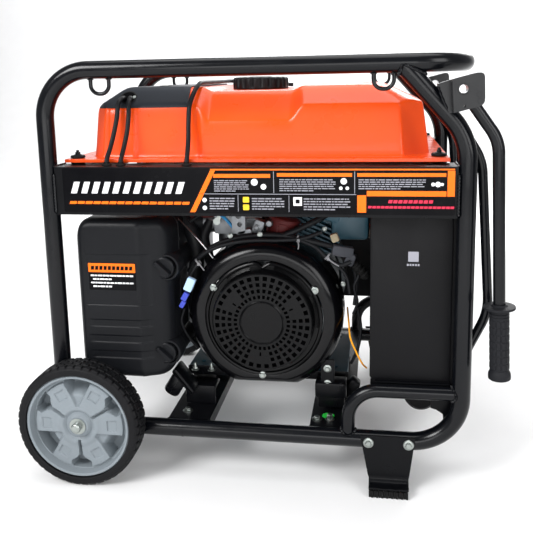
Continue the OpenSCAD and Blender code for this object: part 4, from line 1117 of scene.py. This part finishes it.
bm = bmesh.new()
for s in (-1, 1):
    face = round_outline([(338, 684), (382, 695), (380, 748.5), (334, 737)], (4, 11, 11, 4))
    prism(bm, face, s * 313.0, s * 309.5)
    prism(bm, face, s * 286.5, s * 283.0)
    prism(bm, [(330, 736), (335, 737.2), (339, 684.3), (334, 683)], s * 312.6, s * 283.4)
    prism(bm, [(309, 729), (334.5, 737), (338.5, 684), (329, 681)], s * 286.5, s * 271)
brackets = add_piece("handle_bracket_pair", bm, "frame_black", smooth=math.radians(30), stands_for=("handle_brackets",))
drill(brackets, 9.02, 340, (348, 0, 721), "+Y", 48)
drill(brackets, 2, 340, (351, 0, 693.5), "+Y", 16)

# pressed marks on the brackets
bm = bmesh.new()
for s, ax in SIDES:
    for x, z in ((372, 712), (374, 702)):
        lathe(bm, [(0, 0), (4.2, 0), (3.8, 0.9), (0, 1.0)], (x, s * 312.9, z), ax, 20)
    lathe(bm, [(7.05, 0), (9.4, 0), (9.6, 0.9), (7.05, 1.1), (7.05, 0)], (348, s * 313.0, 721), ax, 36)
add_piece("bracket_marks", bm, "frame_black")


# ---------- engine dressing ----------
def box_at(bm, centre, half, rot=LEVEL, edge=1.2):
    """A box with softened edges, turned by Euler angles in degrees."""
    hx, hy, hz = half
    m = Euler([math.radians(a) for a in rot]).to_matrix()
    e = min(edge, hx * 0.5, hy * 0.5, hz * 0.5)
    shells(bm, [[Vector(centre) + m @ Vector((px, y, pz)) for px, pz in
                 rounded_loop(d - hx, hx - d, d - hz, hz - d, max(0.2, e * 1.3), 3)] for y, d in eased(-hy, hy, e)])


def boxes(name, mat, *specs, **rest):
    """One piece made of soft boxes, each (centre, half size, turn, edge)."""
    bm = bmesh.new()
    for spec in specs:
        box_at(bm, *spec)
    add_piece(name, bm, mat, **rest)


def cords(name, mat, per, *runs):
    """One piece made of smooth cords, each (points, radius, sides)."""
    bm = bmesh.new()
    for pts, radius, sides in runs:
        sweep(bm, smooth_path(pts, per), radius, sides)
    add_piece(name, bm, mat)


def paint(name, col, rough, bump, grain=500):
    return surface(name, col, rough, grain=grain, bump=bump)


cords("wire_loom", "hose_rubber", 6, *((pts, r, 12) for pts, r in (
    ([(-150, -176, 372), (-132, -178, 398), (-100, -178, 424), (-58, -180, 441), (-8, -182, 449), (38, -184, 449),
      (84, -184, 441), (128, -182, 430)], 5.4),
    ([(-150, -170, 352), (-146, -176, 380), (-122, -186, 408), (-84, -190, 428), (-30, -192, 440), (30, -192, 442),
      (76, -190, 446), (112, -186, 458)], 4.0),
    ([(38, -184, 449), (70, -176, 462), (104, -168, 478), (130, -150, 492)], 6.2),
    ([(66, -188, 444), (100, -186, 428), (122, -190, 408), (146, -192, 396), (166, -190, 402)], 4.2),
    ([(128, -182, 430), (156, -176, 416), (170, -170, 388), (176, -168, 350), (172, -170, 312)], 4.0),
    ([(168, -180, 404), (180, -182, 376), (172, -184, 352), (178, -180, 322), (170, -176, 296)], 2.6),
    ([(-148, -200, 356), (-140, -196, 376), (-128, -190, 392)], 3.4),
    ([(-160, -186, 300), (-166, -190, 276), (-158, -186, 248), (-140, -170, 214)], 3.0),
    ([(-150, -160, 470), (-120, -140, 486), (-90, -120, 492), (-60, -110, 486)], 3.6),
    ([(178, -150, 300), (184, -160, 260), (178, -168, 222), (166, -160, 190)], 3.2),
    ([(140, -186, 396), (158, -188, 372), (164, -188, 340)], 3.2),
)))
cords("breather_hoses", "hose_rubber", 6,
      ([(-176, -112, 470), (-158, -118, 440), (-148, -122, 400), (-150, -124, 350), (-156, -122, 300),
        (-150, -116, 262)], 15, 18),
      ([(-120, -104, 462), (-134, -110, 430), (-128, -112, 396), (-122, -104, 372)], 11, 16))
boxes("head_cowl", "engine_teal", ((162, -118, 468), (36, 22, 36), LEVEL, 6),
      ((120, -128, 486), (26, 14, 16), (0, 18, 0), 4))
bm = bmesh.new()
for c, ax in (((66, -186, 445), (1, 0, -0.25)), ((122, -190, 412), (0.8, 0, -0.7)), ((-128, -188, 396), (0.7, 0, 0.7))):
    lathe(bm, [(5.4, -1.6), (7.4, -1.6), (7.6, 0), (7.4, 1.6), (5.4, 1.6), (5.4, -1.6)], c, ax, 24)
    box_at(bm, (c[0] + 2, c[1] - 7.2, c[2] - 3), (2.6, 1.8, 3.2), edge=0.6)
for pts, r in (([(67, -194, 442), (69, -198, 434), (68, -199, 427)], 1.3),
               ([(124, -197, 409), (134, -200, 402), (144, -200, 396)], 1.6),
               ([(-124, -195, 393), (-118, -199, 387), (-114, -200, 382)], 1.3)):
    sweep(bm, smooth_path(pts, 4), r, 8)
add_piece("cable_ties", bm, paint("tie_grey", (0.20, 0.20, 0.21), 0.4, 0.05, 600))
boxes("connector_white", paint("connector_white", (0.42, 0.60, 0.82), 0.38, 0.06),
      ((-136, -228, 362), (8, 6, 13), (0, 24, 0), 1.5))
boxes("connector_blue", paint("connector_blue", (0.05, 0.07, 0.40), 0.38, 0.06),
      ((-146, -228, 338), (5.4, 5, 8), (0, 30, 0), 1.2), ((-152, -226, 322), (4.4, 4, 7), (0, 30, 0), 1.2))
boxes("connector_cream", paint("connector_cream", (0.36, 0.30, 0.20), 0.45, 0.08),
      ((136, -188, 448), (7, 6, 8), (0, -20, 0), 1.6))
cords("lead_yellow", paint("lead_yellow", (0.80, 0.33, 0.015), 0.38, 0.05, 600), 6,
      ([(158, -150, 300), (162, -190, 284), (166, -214, 262), (176, -222, 240), (188, -222, 216),
        (196, -205, 200)], 1.7, 10))
cords("control_rods", "steel", 5,
      ([(-190, -150, 486), (-160, -160, 462), (-120, -180, 428), (-98, -190, 404)], 1.6, 8),
      ([(-196, -140, 452), (-186, -150, 430), (-172, -160, 408)], 2.4, 8),
      ([(-60, -150, 470), (-30, -152, 476), (0, -150, 470), (20, -140, 462)], 1.5, 8))
bm = bmesh.new()
prism(bm, rounded_loop(-62, -36, 450, 498, 6, 4), -176, -172.5)
throttle = add_piece("throttle_plate", bm, "cast_alloy")
for x, z, r in ((-49, 486, 6.5), (-47, 468, 4.6)):
    drill(throttle, r, 20, (x, -174, z), "-Y", 28)
bm = bmesh.new()
box_at(bm, (-38, -168, 447), (15, 8, 11), (0, -12, 0), 2.5)
box_at(bm, (-12, -160, 462), (10, 12, 14), (0, 20, 0), 2.5)
hex_bolt(bm, (-14, -172, 462), "-Y", 4, 4, 6)
lathe(bm, [(0, -2), (7, -2), (7.4, 3), (5, 6), (0, 6)], (10, -170, 470), "-Y", 24)
add_piece("governor_body", bm, "cast_alloy")
bm = bmesh.new()
for x, y, z in ((-64, -186, 448), (-6, -188, 452), (114, -150, 456), (150, -160, 350)):
    hex_bolt(bm, (x, y, z), "-Y", 3.6, 3.2, 5.2)
for z in (192.7, 162.2):
    hex_bolt(bm, (121.8, -199, z), "-Y", 4.6, 4.6, 7.5)
for x, y in ((-152, -150), (-118, -150)):
    hex_bolt(bm, (x, y, 158.5), "+Z", 5.2, 5, 8.5)
    lathe(bm, [(0, 0), (3.2, 0), (3.2, 14), (2.4, 15), (0, 15.2)], (x, y, 158), "+Z", 14)
for x, y in ((104, -232), (-150, -226)):
    hex_bolt(bm, (x, y, 104.1), "+Z", 6.2, 5.5, 10)
hex_bolt(bm, (128, -230, 104.1), "+Z", 6.0, 10, 9)
add_piece("engine_bolts", bm, "zinc")

# dark red cup on the cylinder head, red-brown duct behind the filter
red = paint("duct_red", (0.075, 0.012, 0.012), 0.42, 0.15)
bm = bmesh.new()
lathe(bm, [(0, 0), (26, 0), (27.5, 3), (28, 26), (30.5, 28), (31, 33), (29.4, 36), (24, 38), (0, 39)],
      (30, -150, 443), (0.25, 0, 1), 48)
for k in range(6):
    a = math.radians(60 * k + 20)
    box_at(bm, (30 + 27.6 * math.cos(a), -150 + 27.6 * math.sin(a), 456), (1.2, 1.2, 11), (0, 14, 0), 0.5)
add_piece("rocker_cup", bm, red)
boxes("intake_duct", red, ((-178, -96, 486), (34, 22, 15), (0, 10, 0), 5),
      ((-120, -92, 480), (30, 18, 13), (0, -16, 0), 5))
cords("fuel_line_blue", paint("fuel_line_blue", (0.05, 0.30, 0.62), 0.35, 0.05), 5,
      ([(-106, -150, 492), (-80, -160, 478), (-60, -166, 458)], 3.2, 10))

# grey regulator and boot at the right of the head
boxes("regulator", paint("regulator_grey", (0.055, 0.058, 0.068), 0.45, 0.2, 700),
      ((150, -178, 420), (20, 10, 10), (0, 10, 8), 2.5), ((164, -176, 404), (9, 9, 12), (0, 20, 0), 3))
bm = bmesh.new()
for k in range(7):
    r = 9 + (1.6 if k % 2 else 0)
    lathe(bm, [(0, 0), (r - 2, 0), (r, 1.5), (r, 5), (r - 2, 6.5), (0, 6.5)],
          (172 + k * 3.2, -182 + k, 396 - k * 3.6), (0.62, 0.2, -0.72), 24)
add_piece("lead_boot", bm, "mount_rubber")

# ground mark and rubber-mount brackets on the engine beams
turned("ground_mark", paint("ground_green", (0.02, 0.48, 0.05), 0.4, 0.04),
       [(0, 0), (11.5, 0), (11.5, 0.5), (0, 0.6)], [((124, -216, 104.05), "+Z")], 36)
boxes("mount_brackets", "plate_black",
      ((-3.5, -149.6, 157.6), (163, 2.2, 9), LEVEL, 1.0), ((-160, -196, 160), (6, 24, 30), (0, -38, 0), 3.5),
      ((-178, -206, 150), (16, 14, 22), (0, 32, 0), 7), ((-132, -170, 138), (30, 22, 4), LEVEL, 2),
      ((-132, -190, 122), (30, 2.4, 17), LEVEL, 1.2), ((128, -186, 150), (30, 20, 15), LEVEL, 3),
      ((128, -176, 122), (26, 14, 14), LEVEL, 3), ((166, -162, 143), (11, 14, 18), (0, 40, 0), 4),
      ((122, -196, 178), (13, 3, 32), LEVEL, 2))
turned("mount_rubbers", "mount_rubber",
       [(0, 104), (20, 104), (24, 106), (22, 112), (23.6, 118), (21, 124), (23.6, 130), (22, 138), (24, 144),
        (22, 149), (0, 149.8)],
       [((x, y, 0), "+Z") for x in (-140, 133) for y in (-125, 45)], 44, stands_for=("engine_mounts",))

# ---------- canister, box bracket and shelf trim ----------
bm = bmesh.new()
lathe(bm, [(0, -133), (24, -132), (26, -128), (30, -125), (32, -118), (32, -20), (28, -12), (24, -8), (9, -6), (8, 0),
           (0, 0)], (297, -78, 150), "+Y", 48)
box_at(bm, (297, -150, 180), (25, 15, 20), LEVEL, 2)
add_piece("canister_body", bm, "cap_black", stands_for=("canister",))
bm = bmesh.new()
prism(bm, [(312, 148), (312, 164), (353, 168), (358, 158), (354, 138), (342, 122), (335, 124), (334, 137), (322, 145)],
      -252, -247)
add_piece("canister_gusset", bm, "plate_black")

# ---------- electrics at the rear ----------
bm = bmesh.new()
prism(bm, rounded_loop(-60, -20, 408, 452, 3, 4), 257.9, 259.2)
add_piece("meter_window", bm, surface("meter_glass", (0.02, 0.06, 0.05), 0.12, grain=200, bump=0.01, coat=0.8))
bm = bmesh.new()
for k in range(4):
    box_at(bm, (-64 + k * 15, 259.6, 340), (4.5, 1.8, 8), LEVEL, 1)
    lathe(bm, [(0, 0), (5.5, 0), (5.5, 1.4), (0, 1.6)], (-64 + k * 15, 258, 316), "+Y", 24)
add_piece("breaker_row", bm, "cap_black")
bm = bmesh.new()
for x, z in ((-142, 492), (332, 492), (-142, 223), (332, 223), (95, 492), (95, 223)):
    hex_bolt(bm, (x, 258, z), "+Y", 3.6, 3, 5.6)
lathe(bm, [(0, 0), (9, 0), (9, 2), (3.2, 2.2), (3.2, 12), (0, 12.4)], (312, 258, 240), "+Y", 28)
hex_bolt(bm, (312, 262, 240), "+Y", 6, 4, 8)
add_piece("control_box_screws", bm, "zinc")
bm, bars = bmesh.new(), bmesh.new()
for x, z in ((10, 430), (110, 430), (210, 430), (30, 320), (150, 320)):
    prism(bm, rounded_loop(x - 33, x + 33, z - 40, z - 34, 2, 3), 257.9, 258.6)
    strip(bars, x - 20, x + 20, z + 34, z + 38, 258.0, 0.6)
for z in (268, 338):
    strip(bars, -130, -80, z, z + 4, 258.0, 0.6)
add_piece("control_box_marks", bm, ink["orange"], smooth=None)
add_piece("control_box_bars", bars, ink["white"], smooth=None)

# ---------- stage, light and camera ----------
floor_mat = surface("floor_paper", (0.86, 0.86, 0.86), 0.75, grain=80, bump=0.02, vary=0.01)
FLOOR_X, BEND_Y, BEND_R = (-6.0, -2.0, 2.0, 6.0), 3.0, 2.0  # metres
path = [(-4.0 + 14.0 * i / 32, 0.0) for i in range(16)]
for i in range(17):
    a = math.pi / 2 * i / 16
    path.append((BEND_Y + BEND_R * math.sin(a), BEND_R - BEND_R * math.cos(a)))
bm = bmesh.new()
grid_rows(bm, [[bm.verts.new((x, y, z)) for x in FLOOR_X] for y, z in path + [(5.0, 6.0)]])
mesh = bpy.data.meshes.new("floor")
bm.to_mesh(mesh)
bm.free()
for p in mesh.polygons:
    p.use_smooth = True
mesh.materials.append(floor_mat)
floor = bpy.data.objects.new("floor", mesh)
scene.collection.objects.link(floor)


def area(name, loc, at, w, h, watts):
    """A soft rectangular light aimed at a point."""
    data = bpy.data.lights.new(name, "AREA")
    data.shape = "RECTANGLE"
    data.size, data.size_y = w, h
    data.energy = watts
    ob = bpy.data.objects.new(name, data)
    ob.location = loc
    ob.rotation_euler = (Vector(at) - Vector(loc)).to_track_quat("-Z", "Y").to_euler()
    scene.collection.objects.link(ob)


area("key_left", (-1.7, -2.3, 2.3), (0, -0.1, 0.4), 1.3, 1.3, 100)
area("fill_right", (2.4, -2.2, 1.5), (0, 0, 0.4), 1.4, 2.0, 44)
area("top_soft", (0.1, 0.1, 2.7), (0, 0, 0.5), 2.2, 1.6, 36)
area("low_front", (0.2, -3.0, 0.7), (0, 0, 0.35), 2.6, 0.9, 28)
area("back_rim", (0.5, 2.2, 1.9), (0, 0, 0.5), 2.4, 1.0, 44)
area("wall_wash", (0.0, 1.3, 1.7), (0, 5.0, 2.0), 4.0, 1.2, 170)

world = bpy.data.worlds.new("studio")
world.use_nodes = True
bg = world.node_tree.nodes["Background"]
bg.inputs["Color"].default_value = (0.96, 0.97, 1.0, 1.0)
bg.inputs["Strength"].default_value = 0.32
scene.world = world
scene.view_settings.view_transform = "Standard"

cam_data = bpy.data.cameras.new("camera")
cam_data.lens = 47.78
cam_data.sensor_width = 36.0
cam_data.shift_x = 0.0119
cam_data.shift_y = -0.1241
cam = bpy.data.objects.new("camera", cam_data)
cam.location = (0.2135, -1.510, 0.748)
cam.rotation_euler = (math.radians(79.91), math.radians(1.21), math.radians(9.14))
scene.collection.objects.link(cam)
scene.camera = cam
